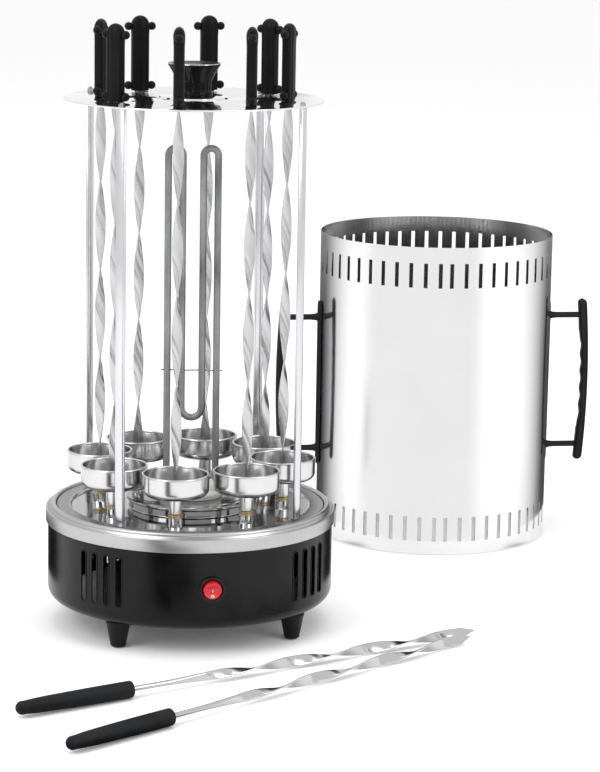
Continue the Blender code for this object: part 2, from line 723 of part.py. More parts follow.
def make_loose_skewers(steel, black):
    tang = 0.030
    high = LOOSE_HANDLE
    outline = [(0.0, high), (LOOSE_HANDLE_RADIUS - 0.0008, high)]
    outline += [(LOOSE_HANDLE_RADIUS, high - 0.001), (LOOSE_HANDLE_RADIUS, high - 0.040)]
    outline += [(LOOSE_BUTT_RADIUS + 0.0009, 0.020)]
    outline += arc((0.0, LOOSE_BUTT_RADIUS), LOOSE_BUTT_RADIUS, 0, -90, 3)
    grip = cut(turned(outline, 14), [cylinder(LOOSE_NECK + GAP, high - tang, high + 0.01, 10)])
    steps = 32
    sections = []
    hexagon = [(1.0, 0.0), (0.55, 1.0), (-0.55, 1.0), (-1.0, 0.0), (-0.55, -1.0), (0.55, -1.0)]
    neck = [(x * LOOSE_NECK, y * LOOSE_NECK * 0.87) for x, y in hexagon]
    sections.append((high - tang + GAP, neck))
    for i in range(steps + 1):
        half_width, half_thickness, twist = loose_section(i / steps)
        points = [(x * half_width, y * half_thickness * 0.87) for x, y in hexagon]
        sections.append((high + LOOSE_BLADE * i / steps, turned_points(points, twist)))
    blade = lofted_bar(sections)
    grip_mesh = None
    blade_mesh = None
    for i, (butt, heading) in enumerate(LOOSE_SKEWERS):
        rotation = (0.0, math.pi / 2 + LOOSE_SLOPE, heading)
        axis = empty(f"loose_skewer_{i + 1}", (*butt, LOOSE_BUTT_HEIGHT), rotation)
        if i == 0:
            grip_mesh = node("loose_skewer_handle_1", grip, black, axis).data
            blade_mesh = node("loose_skewer_blade_1", blade, steel, axis).data
        else:
            node_of_mesh(f"loose_skewer_handle_{i + 1}", grip_mesh, axis)
            node_of_mesh(f"loose_skewer_blade_{i + 1}", blade_mesh, axis)


# ---- the whole set -----------------------------------------------------------------------
def make_set():
    black = finish("black_plastic", (0.02, 0.02, 0.022), 0.45, 0.0)
    enamel = finish("black_enamel", (0.025, 0.025, 0.028), 0.35, 0.0)
    rubber = finish("black_rubber", (0.03, 0.03, 0.03), 0.8, 0.0)
    bright = finish("bright_steel", (0.75, 0.75, 0.76), 0.12, 1.0)
    satin = finish("satin_aluminium", (0.62, 0.62, 0.63), 0.35, 1.0)
    grey = finish("heater_grey", (0.25, 0.25, 0.26), 0.55, 0.6)
    ceramic = finish("ceramic", (0.7, 0.68, 0.64), 0.7, 0.0)
    nylon = finish("nylon", (0.8, 0.78, 0.7), 0.5, 0.0)
    red = finish("rocker_red", (0.6, 0.02, 0.02), 0.2, 0.0)

    tower = empty("tower", (*TOWER_AT, 0.0))
    stations = []
    for i in range(STATIONS):
        angle = station_angle(i)
        rotation = (0.0, 0.0, angle - math.pi / 2)
        stations.append(empty(f"station_{i + 1}", on_circle(STATION_CIRCLE, angle), rotation, tower))

    make_feet(tower, rubber)
    make_drum(tower, enamel)
    make_bottom_plate(tower, satin)
    make_rim(tower, satin)
    make_deck(tower, satin)
    make_posts(tower, bright)
    make_disc(tower, bright)
    make_knob(tower, black)
    make_motor(tower, grey)
    make_sun_gear(tower, nylon)
    make_spindles(stations, bright)
    make_cups(stations, bright)
    make_skewer_blades(stations, bright)
    make_skewer_handles(stations, black)
    make_heater(tower, grey, ceramic)
    make_switch(tower, black, red)
    make_cord_gland(tower, black)
    make_cover_handles(make_cover(bright), black)
    make_loose_skewers(bright, black)


for leftover in list(bpy.data.objects):
    bpy.data.objects.remove(leftover, do_unlink=True)

model = bpy.data.collections.new("rotisserie_oven")
construction = bpy.data.collections.new("construction")
bpy.context.scene.collection.children.link(model)
bpy.context.scene.collection.children.link(construction)
make_set()
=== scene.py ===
"""The looks of the upright rotisserie oven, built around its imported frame.

Metres, +Z up.  The oven's axis, the eight stations, the switch, the cover and the loose
skewers are where the frame has them.
"""
import json
from math import asin, atan2, copysign, cos, degrees, exp, pi, radians, sin, sqrt

import bmesh
import bpy
from mathutils import Matrix, Vector


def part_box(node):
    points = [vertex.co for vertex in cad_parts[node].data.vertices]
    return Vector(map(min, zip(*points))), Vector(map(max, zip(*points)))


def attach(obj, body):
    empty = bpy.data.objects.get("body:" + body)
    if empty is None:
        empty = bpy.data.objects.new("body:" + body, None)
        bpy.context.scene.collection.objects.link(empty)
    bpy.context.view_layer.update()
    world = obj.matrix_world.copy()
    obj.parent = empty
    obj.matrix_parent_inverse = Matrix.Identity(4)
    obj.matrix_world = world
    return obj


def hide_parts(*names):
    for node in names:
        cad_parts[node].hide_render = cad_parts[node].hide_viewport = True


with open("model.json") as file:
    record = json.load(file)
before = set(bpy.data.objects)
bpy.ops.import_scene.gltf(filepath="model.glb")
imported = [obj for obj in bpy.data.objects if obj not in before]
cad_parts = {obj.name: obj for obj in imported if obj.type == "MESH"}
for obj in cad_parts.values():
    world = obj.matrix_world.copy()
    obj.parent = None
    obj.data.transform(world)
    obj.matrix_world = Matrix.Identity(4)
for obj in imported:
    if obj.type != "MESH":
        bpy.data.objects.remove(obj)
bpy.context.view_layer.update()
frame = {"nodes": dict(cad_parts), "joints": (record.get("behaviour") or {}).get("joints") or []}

nodes = frame["nodes"]
joints = {joint["name"]: joint for joint in frame["joints"]}
STATIONS = 8
QUARTER = pi / 2


def up(height):
    """A shift along Z."""
    return Matrix.Translation((0.0, 0.0, height))


def spin(angle, axis="Z"):
    """A turn about an axis."""
    return Matrix.Rotation(angle, 4, axis)


# ---- places, read from the frame, and sizes ----
def middle(node):
    low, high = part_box(node)
    return (low + high) / 2


def heights(node):
    """A node's lowest and highest z."""
    low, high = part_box(node)
    return low.z, high.z


def on_table(point):
    return Vector((point[0], point[1], 0.0))


TOWER = on_table(middle("base_drum"))
COVER = on_table(middle("cover_shell"))
COVER_HANDLE = middle("cover_handle_right") - middle("cover_shell")
COVER_TURN = atan2(COVER_HANDLE.y, COVER_HANDLE.x)

GAP = 0.0003            # left between two pieces that fit together
DRUM_RADIUS = 0.134
DRUM_BOTTOM, DRUM_TOP = heights("base_drum")
DRUM_CORNER = 0.011
DRUM_OPENING = 0.100
SHEET = 0.001
SWITCH_HOLE = 0.0101
GLAND_HOLE = 0.0070
RIM_RADIUS = 0.136
RIM_TOP = 0.1107
BEAD_RADIUS = 0.0024
DECK_TOP = 0.1134
DECK_EDGE = 0.1256
DECK_FLANGE = 0.1324
MIRROR_EDGE = 0.113
MIRROR_TOP = 0.111
PLATFORM_RADIUS = 0.061
BUSH_HOLE = 0.0066
LEG_HOLE = 0.0036
BUSH_TOP = heights("deck_plate")[1]
PLATFORM_TOP = heights("heater_base")[0] - GAP
DISC_BOTTOM, DISC_BOSS_TOP = heights("top_disc")
DISC_TOP = DISC_BOTTOM + 0.0015
DISC_BOSS_RADIUS = 0.0325
DISC_HOLE = 0.0056
CUP_RADIUS = 0.031
BLADE_SLOT = (0.0106, 0.0021)       # its width and thickness
HEATER_OUTER = 0.023
HEATER_INNER = 0.0095
HEATER_RADIUS = 0.0033
DISC_RADIUS = (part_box("top_disc")[1].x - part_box("top_disc")[0].x) / 2
COVER_RADIUS = 0.123
COVER_HEIGHT = heights("cover_shell")[1]
POST_CIRCLE = (middle("post_1") - TOWER).xy.length
BLADE_HALF_WIDTH = 0.005
BLADE_HALF_THICKNESS = 0.00075
TWIST_START = 0.159
TWIST_END = 0.490
HALF_TWISTS = 4
LOOSE_HANDLE = 0.112
LOOSE_BLADE = 0.372
LOOSE_PLAIN = 0.2       # the share of a loose blade before its twist
LOOSE_PITCH = 0.085     # the length of one half twist


def on_circle(centre, radius, angle, height):
    """A shift to a circle's point; the angle runs from -Y towards +X."""
    spot = Vector((radius * sin(angle), -radius * cos(angle), height))
    return Matrix.Translation(centre + spot)


def around(radius, angle, height=0.0):
    """A frame on a circle round the oven's axis: its X outwards, its Z up."""
    return on_circle(TOWER, radius, angle, height) @ spin(angle - QUARTER)


def facing_out(centre, radius, angle, height):
    """A frame on a circle: its Z outwards, its Y up and its X to the right."""
    turn = spin(angle) @ spin(QUARTER, "X")
    return on_circle(centre, radius, angle, height) @ turn


def angle_of(point):
    return atan2(point.x - TOWER.x, TOWER.y - point.y)


def station_place(i):
    return Matrix.Translation(on_table(joints[f"spindle_{i + 1}_spin"]["pos_m"]))


def blade_turn(i):
    """How far a standing skewer is turned, read from the corners of its lower end."""
    points = [vertex.co for vertex in nodes[f"skewer_blade_{i + 1}"].data.vertices]
    lowest = min(point.z for point in points)
    corners = [point for point in points if point.z < lowest + 0.0001]
    diagonal = max((b - a for a in corners for b in corners), key=lambda side: side.length)
    lean = atan2(BLADE_HALF_THICKNESS, BLADE_HALF_WIDTH)
    turn = atan2(diagonal.y, diagonal.x)
    near = [point for point in corners if (point - corners[0]).length < BLADE_HALF_WIDTH]
    narrow = near[-1] - near[0]
    options = (turn + lean, turn - lean)
    across = [abs(cos(a) * narrow.x + sin(a) * narrow.y) for a in options]
    return options[across.index(min(across))]


SKEWER_TURNS = [blade_turn(i) for i in range(STATIONS)]
STATION_SPOTS = [station_place(i).translation - TOWER for i in range(STATIONS)]
LEG_SPOTS = [Vector((side, 0.0, 0.0)) for side in (-HEATER_OUTER, HEATER_OUTER)]


def skewer_place(i):
    return station_place(i) @ spin(SKEWER_TURNS[i])


# ---- shape helpers ----
def linked(name, data):
    """A new object in the scene."""
    body = bpy.data.objects.new(name, data)
    bpy.context.scene.collection.objects.link(body)
    return body


def mesh_from(shape, name):
    mesh = bpy.data.meshes.new(name)
    shape.to_mesh(mesh)
    shape.free()
    return mesh


def guide(mesh):
    return linked("guide", mesh)


def guide_from(shape):
    return guide(mesh_from(shape, "guide"))


def baked(body):
    """The body's finished mesh; the body itself goes."""
    bpy.context.view_layer.update()
    depsgraph = bpy.context.evaluated_depsgraph_get()
    mesh = bpy.data.meshes.new_from_object(body.evaluated_get(depsgraph), depsgraph=depsgraph)
    bpy.data.objects.remove(body)
    return mesh


def combined(body, tools, operation):
    for tool in tools:
        boolean = body.modifiers.new(operation.lower(), "BOOLEAN")
        boolean.operation = operation
        boolean.solver = "EXACT"
        boolean.object = tool
    mesh = baked(body)
    for tool in tools:
        bpy.data.objects.remove(tool)
    return guide(mesh)


def cut(body, tools):
    return combined(body, tools, "DIFFERENCE")


def joined(body, tools):
    return combined(body, tools, "UNION")


def merged(bodies):
    """Several bodies that don't touch, as one."""
    shape = bmesh.new()
    for body in bodies:
        shape.from_mesh(baked(body))
    return guide_from(shape)


def moved(body, place):
    body.data.transform(place)
    return body


def arc(centre, radius, start, end, count):
    points = []
    for i in range(count + 1):
        angle = radians(start + (end - start) * i / count)
        points.append((centre[0] + radius * cos(angle), centre[1] + radius * sin(angle)))
    return points


def raised(level, *points):
    """Outline points whose heights count from a level."""
    return [(radius, level + height) for radius, height in points]


def turned(outline, steps, ring=False):
    """Turn (radius, height) points about Z, outer side running down."""
    mesh = bpy.data.meshes.new("turned")
    count = len(outline)
    edges = [(i, i + 1) for i in range(count - 1)]
    if ring:
        edges.append((count - 1, 0))
    mesh.from_pydata([(radius, 0.0, height) for radius, height in outline], edges, [])
    body = guide(mesh)
    screw = body.modifiers.new("turn", "SCREW")
    screw.steps = steps
    screw.render_steps = steps
    screw.use_merge_vertices = True
    screw.merge_threshold = 0.00001
    return guide(baked(body))


def cylinder(radius, low, high, sides=32, bevel=0.0):
    """A round bar; a bevel rounds its ends over."""
    if bevel == 0.0:
        return turned([(0.0, high), (radius, high), (radius, low), (0.0, low)], sides)
    outline = [(0.0, high)] + arc((radius - bevel, high - bevel), bevel, 90, 0, 4)
    outline += arc((radius - bevel, low + bevel), bevel, 0, -90, 4) + [(0.0, low)]
    return turned(outline, sides)


def box(size, centre):
    shape = bmesh.new()
    bmesh.ops.create_cube(shape, size=1.0)
    bmesh.ops.scale(shape, vec=size, verts=shape.verts)
    bmesh.ops.translate(shape, vec=centre, verts=shape.verts)
    return guide_from(shape)


def loft(rings):
    """A closed bar through rings of points."""
    shape = bmesh.new()
    rows = [[shape.verts.new(point) for point in ring] for ring in rings]
    count = len(rows[0])
    for lower, upper in zip(rows, rows[1:]):
        for k in range(count):
            after = (k + 1) % count
            shape.faces.new((lower[k], lower[after], upper[after], upper[k]))
    shape.faces.new(reversed(rows[0]))
    shape.faces.new(rows[-1])
    return guide_from(shape)


def rod_along(points, radius, cyclic=False, resolution=2):
    """A round rod that follows a row of points."""
    curve = bpy.data.curves.new("rod", "CURVE")
    curve.dimensions = "3D"
    curve.bevel_depth = radius
    curve.bevel_resolution = resolution
    curve.use_fill_caps = True
    spline = curve.splines.new("POLY")
    spline.points.add(len(points) - 1)
    for target, where in zip(spline.points, points):
        target.co = (*where, 1.0)
    spline.use_cyclic_u = cyclic
    shape = bmesh.new()
    shape.from_mesh(baked(linked("rod", curve)))
    bmesh.ops.remove_doubles(shape, verts=shape.verts, dist=0.00001)
    return guide_from(shape)


def stadium(width, length, count=8):
    """A slot outline with round ends, long along Y."""
    radius = width / 2
    straight = length / 2 - radius
    return arc((0, straight), radius, 0, 180, count) + arc((0, -straight), radius, 180, 360, count)


def lifted(outline, height):
    """A flat outline as a ring of points at a height."""
    return [(x, y, height) for x, y in outline]


def prism(outline, *levels):
    """An upright bar with the same outline at every level."""
    return loft([lifted(outline, level) for level in levels])


def superellipse(half_x, half_y, power, count):
    points = []
    for k in range(count):
        angle = 2 * pi * k / count
        cosine = cos(angle)
        sine = sin(angle)
        x = half_x * copysign(abs(cosine) ** (2 / power), cosine)
        y = half_y * copysign(abs(sine) ** (2 / power), sine)
        points.append((x, y))
    return points


def spun(points, angle):
    cosine = cos(angle)
    sine = sin(angle)
    return [(x * cosine - y * sine, x * sine + y * cosine) for x, y in points]


def smooth_step(value):
    value = min(max(value, 0.0), 1.0)
    return value * value * (3 - 2 * value)


def smoothed(mesh, sharp=32):
    mesh.shade_smooth()
    mesh.set_sharp_from_angle(angle=radians(sharp))
    return mesh


def finished(body, sharp=32):
    """A body's mesh, shaded smooth up to its sharp edges."""
    return smoothed(baked(body), sharp)


def show(name, mesh, surface, body, place, replaces=None):
    """One visible piece: it takes a surface, rides on a body and may stand for a node."""
    piece = linked(name, mesh)
    piece.matrix_world = place
    if surface is not None and not mesh.materials:
        mesh.materials.append(surfaces[surface].material)
    bpy.context.view_layer.update()
    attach(piece, body)
    if replaces:
        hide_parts(replaces)


# ---- materials ----
NOISE_LOW = 0.3         # most of a noise lies between these
NOISE_HIGH = 0.7


def added(tree, kind, inputs=None, **settings):
    """A new shader node; its sockets take plain values or other nodes' outputs."""
    made = tree.nodes.new("ShaderNode" + kind)
    for setting, value in settings.items():
        setattr(made, setting, value)
    for socket, value in (inputs or {}).items():
        if isinstance(value, bpy.types.NodeSocket):
            tree.links.new(value, made.inputs[socket])
        else:
            made.inputs[socket].default_value = value
    return made


class Surface:
    """A Principled material that takes its detail layer by layer."""

    def __init__(self, name, colour, roughness, metallic=0.0, **sockets):
        self.material = bpy.data.materials.new(name)
        self.material.use_nodes = True
        self.tree = self.material.node_tree
        self.shader = self.tree.nodes["Principled BSDF"]
        sockets.update(Base_Color=(*colour, 1.0), Roughness=roughness, Metallic=metallic)
        for socket, value in sockets.items():
            self.shader.inputs[socket.replace("_", " ")].default_value = value
        self.where = self.node("TexCoord").outputs["Object"]

    def node(self, kind, inputs=None, **settings):
        return added(self.tree, kind, inputs, **settings)

    def maths(self, operation, a, b=0.0):
        return self.node("Math", {0: a, 1: b}, operation=operation).outputs[0]

    def stretched(self, stretch):
        """Object coordinates, scaled a different amount each way."""
        return self.node("Mapping", {"Vector": self.where, "Scale": stretch}).outputs[0]

    def untwisted(self, start, rate):
        """Coordinates that turn with a blade's twist, so that streaks follow the steel."""
        split = self.node("SeparateXYZ", {0: self.where})
        height = self.maths("MAXIMUM", self.maths("SUBTRACT", split.outputs["Z"], start), 0.0)
        inputs = {"Vector": self.where, "Angle": self.maths("MULTIPLY", height, -rate)}
        self.where = self.node("VectorRotate", inputs, rotation_type="Z_AXIS").outputs[0]

    def lathe(self, across, along):
        """Coordinates that are fine across the turning marks and slow along them."""
        split = self.node("SeparateXYZ", {0: self.where})
        x, y, z = split.outputs
        square = self.maths("ADD", self.maths("MULTIPLY", x, x), self.maths("MULTIPLY", y, y))
        radius = self.maths("SQRT", square)
        inputs = {0: self.maths("MULTIPLY", radius, across), 1: self.maths("MULTIPLY", z, across)}
        turn = self.maths("ARCTAN2", y, x)
        inputs[2] = self.maths("MULTIPLY", self.maths("ABSOLUTE", turn), along)
        return self.node("CombineXYZ", inputs).outputs[0]

    def noise(self, where, scale, detail=3.0):
        inputs = {"Vector": where, "Scale": scale, "Detail": detail}
        return self.node("TexNoise", inputs).outputs["Fac"]

    def vary_roughness(self, factor, low, high):
        inputs = {"Value": factor, "From Min": NOISE_LOW, "From Max": NOISE_HIGH,
                  "To Min": low, "To Max": high}
        spread = self.node("MapRange", inputs).outputs["Result"]
        self.tree.links.new(spread, self.shader.inputs["Roughness"])

    def wear_roughness(self, marks, cloud, low, high):
        """Roughness that follows the marks and, a little less, a slow cloud."""
        parts = [self.maths("MULTIPLY", marks, 0.6), self.maths("MULTIPLY", cloud, 0.4)]
        self.vary_roughness(self.maths("ADD", *parts), low, high)

    def vary_colour(self, factor, dark, light):
        ramp = self.node("ValToRGB", {"Fac": factor})
        stops = zip(ramp.color_ramp.elements, (NOISE_LOW, NOISE_HIGH), (dark, light))
        for stop, position, colour in stops:
            stop.position = position
            stop.color = (*colour, 1.0)
        self.tree.links.new(ramp.outputs["Color"], self.shader.inputs["Base Color"])

    def bump(self, height, strength, distance):
        inputs = {"Height": height, "Strength": strength, "Distance": distance}
        made = self.node("Bump", inputs)
        self.tree.links.new(made.outputs["Normal"], self.shader.inputs["Normal"])


def grey(level, blue=0.0):
    return (level, level, level + blue)


def turned_metal(name, level, smooth, rough, marks, wear=0.03):
    """Metal with turning or polishing marks that run around its own axis."""
    surface = Surface(name, grey(level, 0.005), (smooth + rough) / 2, 1.0)
    rings = surface.noise(surface.lathe(900.0, 0.6), 1.0, 2.0)
    cloud = surface.noise(surface.where, 30.0)
    surface.wear_roughness(rings, cloud, smooth, rough)
    surface.vary_colour(cloud, grey(level - wear), grey(level + wear, 0.005))
    surface.bump(rings, marks, 0.0002)
    return surface


def drawn_metal(name, level, smooth, rough, stretch, marks, wear=0.03, tint=0.005, twist=None):
    """Metal with straight polishing marks; a twist is its (start, radians per metre)."""
    surface = Surface(name, grey(level, tint), (smooth + rough) / 2, 1.0)
    if twist:
        surface.untwisted(*twist)
    streaks = surface.noise(surface.stretched(stretch), 1.0, 3.0)
    cloud = surface.noise(surface.where, 18.0)
    surface.wear_roughness(streaks, cloud, smooth, rough)
    surface.vary_colour(cloud, grey(level - wear, tint), grey(level + wear, tint))
    surface.bump(streaks, marks, 0.0002)
    return surface


def moulded(name, colour, smooth, rough, grain, strength, sheen=0.5, **sockets):
    """Moulded plastic or rubber: a fine grain and uneven sheen."""
    surface = Surface(name, colour, (smooth + rough) / 2, 0.0,
                      Specular_IOR_Level=sheen, **sockets)
    cloud = surface.noise(surface.where, 45.0)
    fine = surface.noise(surface.where, grain, 4.0)
    surface.vary_roughness(cloud, smooth, rough)
    lighter = tuple(channel * 1.5 + 0.0006 for channel in colour)
    surface.vary_colour(cloud, colour, lighter)
    surface.bump(fine, strength, 0.0003)
    return surface


def blade_metal(name, smooth, rough, start, rate):
    """Ground steel whose marks turn with the twist."""
    return drawn_metal(name, 0.50, smooth, rough, (260.0, 900.0, 3.0), 0.015, 0.015,
                       twist=(start, rate))


def brass():
    surface = Surface("bush_brass", (0.62, 0.44, 0.19), 0.3, 1.0)
    stain = surface.noise(surface.where, 260.0)
    surface.vary_colour(stain, (0.50, 0.34, 0.13), (0.72, 0.54, 0.26))
    surface.vary_roughness(stain, 0.24, 0.40)
    surface.bump(surface.noise(surface.lathe(1500.0, 1.0), 1.0), 0.15, 0.0002)
    return surface


def heater_sheath():
    surface = Surface("heater_sheath", (0.24, 0.24, 0.245), 0.45, 0.85)
    burnt = surface.noise(surface.stretched((70.0, 70.0, 22.0)), 1.0, 5.0)
    surface.vary_colour(burnt, (0.13, 0.13, 0.135), (0.34, 0.345, 0.35))
    surface.vary_roughness(burnt, 0.35, 0.6)
    surface.bump(surface.noise(surface.where, 1200.0), 0.2, 0.0002)
    return surface


def ceramic():
    surface = Surface("heater_ceramic", (0.66, 0.64, 0.60), 0.35)
    speck = surface.noise(surface.where, 500.0, 6.0)
    surface.vary_colour(speck, (0.52, 0.50, 0.46), (0.74, 0.72, 0.68))
    surface.vary_roughness(speck, 0.25, 0.45)
    return surface


def make_surfaces():
    glow = {"Coat_Weight": 0.3, "Coat_Roughness": 0.06, "Subsurface_Weight": 0.12,
            "Subsurface_Scale": 0.003}
    twist = pi * HALF_TWISTS / (TWIST_END - TWIST_START)
    loose_start = LOOSE_HANDLE + LOOSE_PLAIN * LOOSE_BLADE
    dark = (0.003, 0.0032, 0.0034)
    return {
        "enamel": moulded("satin_enamel", (0.0012, 0.0012, 0.0014), 0.18, 0.27, 700.0, 0.07, 0.21),
        "handle": moulded("handle_plastic", (0.002, 0.002, 0.0021), 0.34, 0.46, 1400.0, 0.15, 0.12),
        "grip": moulded("cover_grip_plastic", (0.0042, 0.0045, 0.0055), 0.38, 0.5, 1200.0, 0.18, 0.22),
        "loose_grip": moulded("loose_grip_plastic", (0.0045, 0.005, 0.006), 0.5, 0.66, 900.0, 0.45,
                              0.2),
        "knob": moulded("knob_gloss", grey(0.0015), 0.26, 0.34, 300.0, 0.03, 0.14),
        "rubber": moulded("foot_rubber", grey(0.003), 0.34, 0.5, 1500.0, 0.15, 0.18),
        "bezel": moulded("bezel_plastic", dark, 0.22, 0.32, 1400.0, 0.08, 0.25),
        "rocker": moulded("rocker_plastic", (0.40, 0.002, 0.006), 0.12, 0.2, 900.0, 0.02, **glow),
        "mark": moulded("mark_white", grey(0.85), 0.4, 0.5, 900.0, 0.05),
        "rim": turned_metal("rim_aluminium", 0.43, 0.26, 0.38, 0.25, 0.02),
        "deck": turned_metal("deck_satin", 0.26, 0.28, 0.40, 0.2, 0.02),
        "deck_mirror": turned_metal("deck_mirror", 0.36, 0.05, 0.10, 0.03),
        "cup": turned_metal("cup_polished", 0.58, 0.15, 0.24, 0.10),
        "tube": turned_metal("spindle_chrome", 0.66, 0.06, 0.12, 0.03),
        "disc": turned_metal("disc_mirror", 0.74, 0.05, 0.09, 0.015, 0.015),
        "post": drawn_metal("post_steel", 0.60, 0.16, 0.26, (900.0, 900.0, 6.0), 0.08, 0.02, 0.02),
        "blade": blade_metal("blade_steel", 0.24, 0.30, TWIST_START, twist),
        "loose_blade": blade_metal("loose_blade_steel", 0.15, 0.20, loose_start, pi / LOOSE_PITCH),
        "cover": drawn_metal("cover_steel", 0.80, 0.10, 0.16, (500.0, 500.0, 4.0), 0.03, 0.015),
        "nut": drawn_metal("zinc_hardware", 0.34, 0.25, 0.4, (900.0, 900.0, 900.0), 0.1),
        "plate": drawn_metal("zinc_plate", 0.42, 0.32, 0.48, (60.0, 60.0, 60.0), 0.15),
        "motor": drawn_metal("motor_can", 0.28, 0.4, 0.55, (200.0, 200.0, 200.0), 0.2),
        "brass": brass(),
        "heater": heater_sheath(),
        "ceramic": ceramic(),
        "nylon": moulded("gear_nylon", (0.62, 0.60, 0.52), 0.4, 0.5, 800.0, 0.1),
    }


surfaces = make_surfaces()


# ---- base ----
VENT_HEIGHT = 0.047
VENT_WIDTH = 0.006
VENT_MIDDLE = 0.0662
VENT_PITCH = radians(5.85)
VENTS_IN_GROUP = 4
VENT_GROUPS = (-37.4, 55.0, 145.0, 235.0)
VENT_ANGLES = [radians(group) + (i - (VENTS_IN_GROUP - 1) / 2) * VENT_PITCH
               for group in VENT_GROUPS for i in range(VENTS_IN_GROUP)]
VENT_LIP = 0.00055
PLATE_SCREWS = 6
PLATE_SCREW_CIRCLE = 0.092
SWITCH = Vector(joints["switch_rock"]["pos_m"])
SWITCH_ANGLE = angle_of(SWITCH)
GLAND_HEIGHT = middle("cord_gland").z
AXIS = Matrix.Translation(TOWER)
HERE = Vector()
LIE = spin(QUARTER, "Y")      # lays a turned bar along X


def make_drum():
    flat = DRUM_RADIUS - DRUM_CORNER
    corner = (flat, DRUM_BOTTOM + DRUM_CORNER)
    outline = [(DRUM_RADIUS, DRUM_TOP)] + arc(corner, DRUM_CORNER, 0, -90, 10)
    outline += [(DRUM_OPENING, DRUM_BOTTOM), (DRUM_OPENING, DRUM_BOTTOM + SHEET)]
    outline += arc(corner, DRUM_CORNER - SHEET, -90, 0, 10) + [(DRUM_RADIUS - SHEET, DRUM_TOP)]
    drum = turned(outline, 180, ring=True)
    tools = []
    lips = []
    for angle in VENT_ANGLES:
        tool = prism(stadium(VENT_WIDTH, VENT_HEIGHT), -0.004, 0.004)
        tools.append(moved(tool, facing_out(HERE, DRUM_RADIUS, angle, VENT_MIDDLE)))
        route = []
        for x, y in stadium(VENT_WIDTH + 0.0006, VENT_HEIGHT + 0.0006, 6):
            turn = angle + x / DRUM_RADIUS
            reach = DRUM_RADIUS + 0.0001
            route.append((reach * sin(turn), -reach * cos(turn), VENT_MIDDLE + y))
        lips.append(rod_along(route, VENT_LIP, cyclic=True))
    switch = facing_out(HERE, DRUM_RADIUS, SWITCH_ANGLE, SWITCH.z)
    tools.append(moved(cylinder(SWITCH_HOLE, -0.004, 0.004), switch))
    gland = facing_out(HERE, DRUM_RADIUS, pi, GLAND_HEIGHT)
    tools.append(moved(cylinder(GLAND_HOLE, -0.004, 0.004), gland))
    mesh = finished(cut(drum, [merged(tools)]))
    show("drum_shell", mesh, "enamel", "base", AXIS, "base_drum")
    show("vent_lips", finished(merged(lips)), "enamel", "base", AXIS)


def make_rim():
    """A band with a rolled bead inside its groove."""
    inner = DECK_EDGE + 0.0006
    bead = (inner + BEAD_RADIUS, DECK_TOP - 0.0004)
    under = DRUM_TOP + 0.0004
    low = heights("rim_ring")[0]
    outline = arc(bead, BEAD_RADIUS, 180, -20, 14)
    outline += arc((0.1326, RIM_TOP - 0.0002), 0.0009, 200, 320, 6)
    outline += [(0.1342, RIM_TOP - 0.0001)]
    outline += arc((RIM_RADIUS - 0.0009, RIM_TOP - 0.0009), 0.0009, 90, 0, 5)
    outline += arc((RIM_RADIUS - 0.0006, low + 0.0006), 0.0006, 0, -90, 4)
    outline += [(DRUM_RADIUS + 0.0004, low), (DRUM_RADIUS + 0.0004, under), (inner, under)]
    mesh = finished(turned(outline, 180, ring=True))
    show("rim_band", mesh, "rim", "base", AXIS, "rim_ring")


def bores(spots, radius, low, high, sides=32):
    """A cutting bar at every spot, counted from the oven's axis."""
    return [moved(cylinder(radius, low, high, sides), Matrix.Translation(spot)) for spot in spots]


def make_deck():
    """Satin border, mirror-bright trough with the eight bores, and a lipped platform."""
    lip = 0.0012
    fillet = 0.0014
    edge = PLATFORM_RADIUS - 0.0006
    wall = PLATFORM_RADIUS - 0.0030
    outline = raised(PLATFORM_TOP, (0.0, 0.0), (0.0492, 0.0), (0.0498, -0.0006),
                     (0.0512, -0.0006), (0.0522, -0.0001))
    outline += arc((edge - lip, PLATFORM_TOP - lip), lip, 90, -90, 12)
    outline += raised(PLATFORM_TOP, (wall + 0.0003, -0.0026), (wall, -0.0032))
    outline += [(wall, MIRROR_TOP + fillet)]
    outline += arc((wall + fillet, MIRROR_TOP + fillet), fillet, 190, 270, 5)
    outline += raised(MIRROR_TOP, (MIRROR_EDGE - 0.0016, 0.0), (MIRROR_EDGE - 0.0008, 0.0005))
    outline += raised(DECK_TOP, (MIRROR_EDGE - 0.0002, -0.0003), (MIRROR_EDGE + 0.0006, 0.0),
                      (DECK_EDGE - 0.0006, 0.0), (DECK_EDGE, -0.0006))
    outline += raised(DRUM_TOP, (DECK_EDGE, 0.0), (DECK_FLANGE, 0.0), (DECK_FLANGE, -SHEET),
                      (DECK_EDGE - SHEET, -SHEET))
    outline += raised(DECK_TOP, (DECK_EDGE - SHEET, -SHEET), (MIRROR_EDGE + 0.0006, -SHEET))
    outline += raised(MIRROR_TOP, (MIRROR_EDGE - 0.0002, -SHEET), (wall - 0.0002, -SHEET),
                      (wall - SHEET, 0.0))
    outline += raised(PLATFORM_TOP, (wall - SHEET, -0.0030), (wall - 0.0022, -0.0020), (0.0, -0.0020))
    tools = bores(STATION_SPOTS, BUSH_HOLE, 0.10, 0.13, 24)
    tools += bores(LEG_SPOTS, LEG_HOLE, 0.10, 0.13, 24)
    mesh = finished(cut(turned(outline, 180), [merged(tools)]), 25)
    mesh.materials.append(surfaces["deck"].material)
    mesh.materials.append(surfaces["deck_mirror"].material)
    for face in mesh.polygons:
        face.material_index = 1 if face.center.xy.length < MIRROR_EDGE + 0.0004 else 0
    show("deck_pressing", mesh, None, "base", AXIS, "deck_plate")


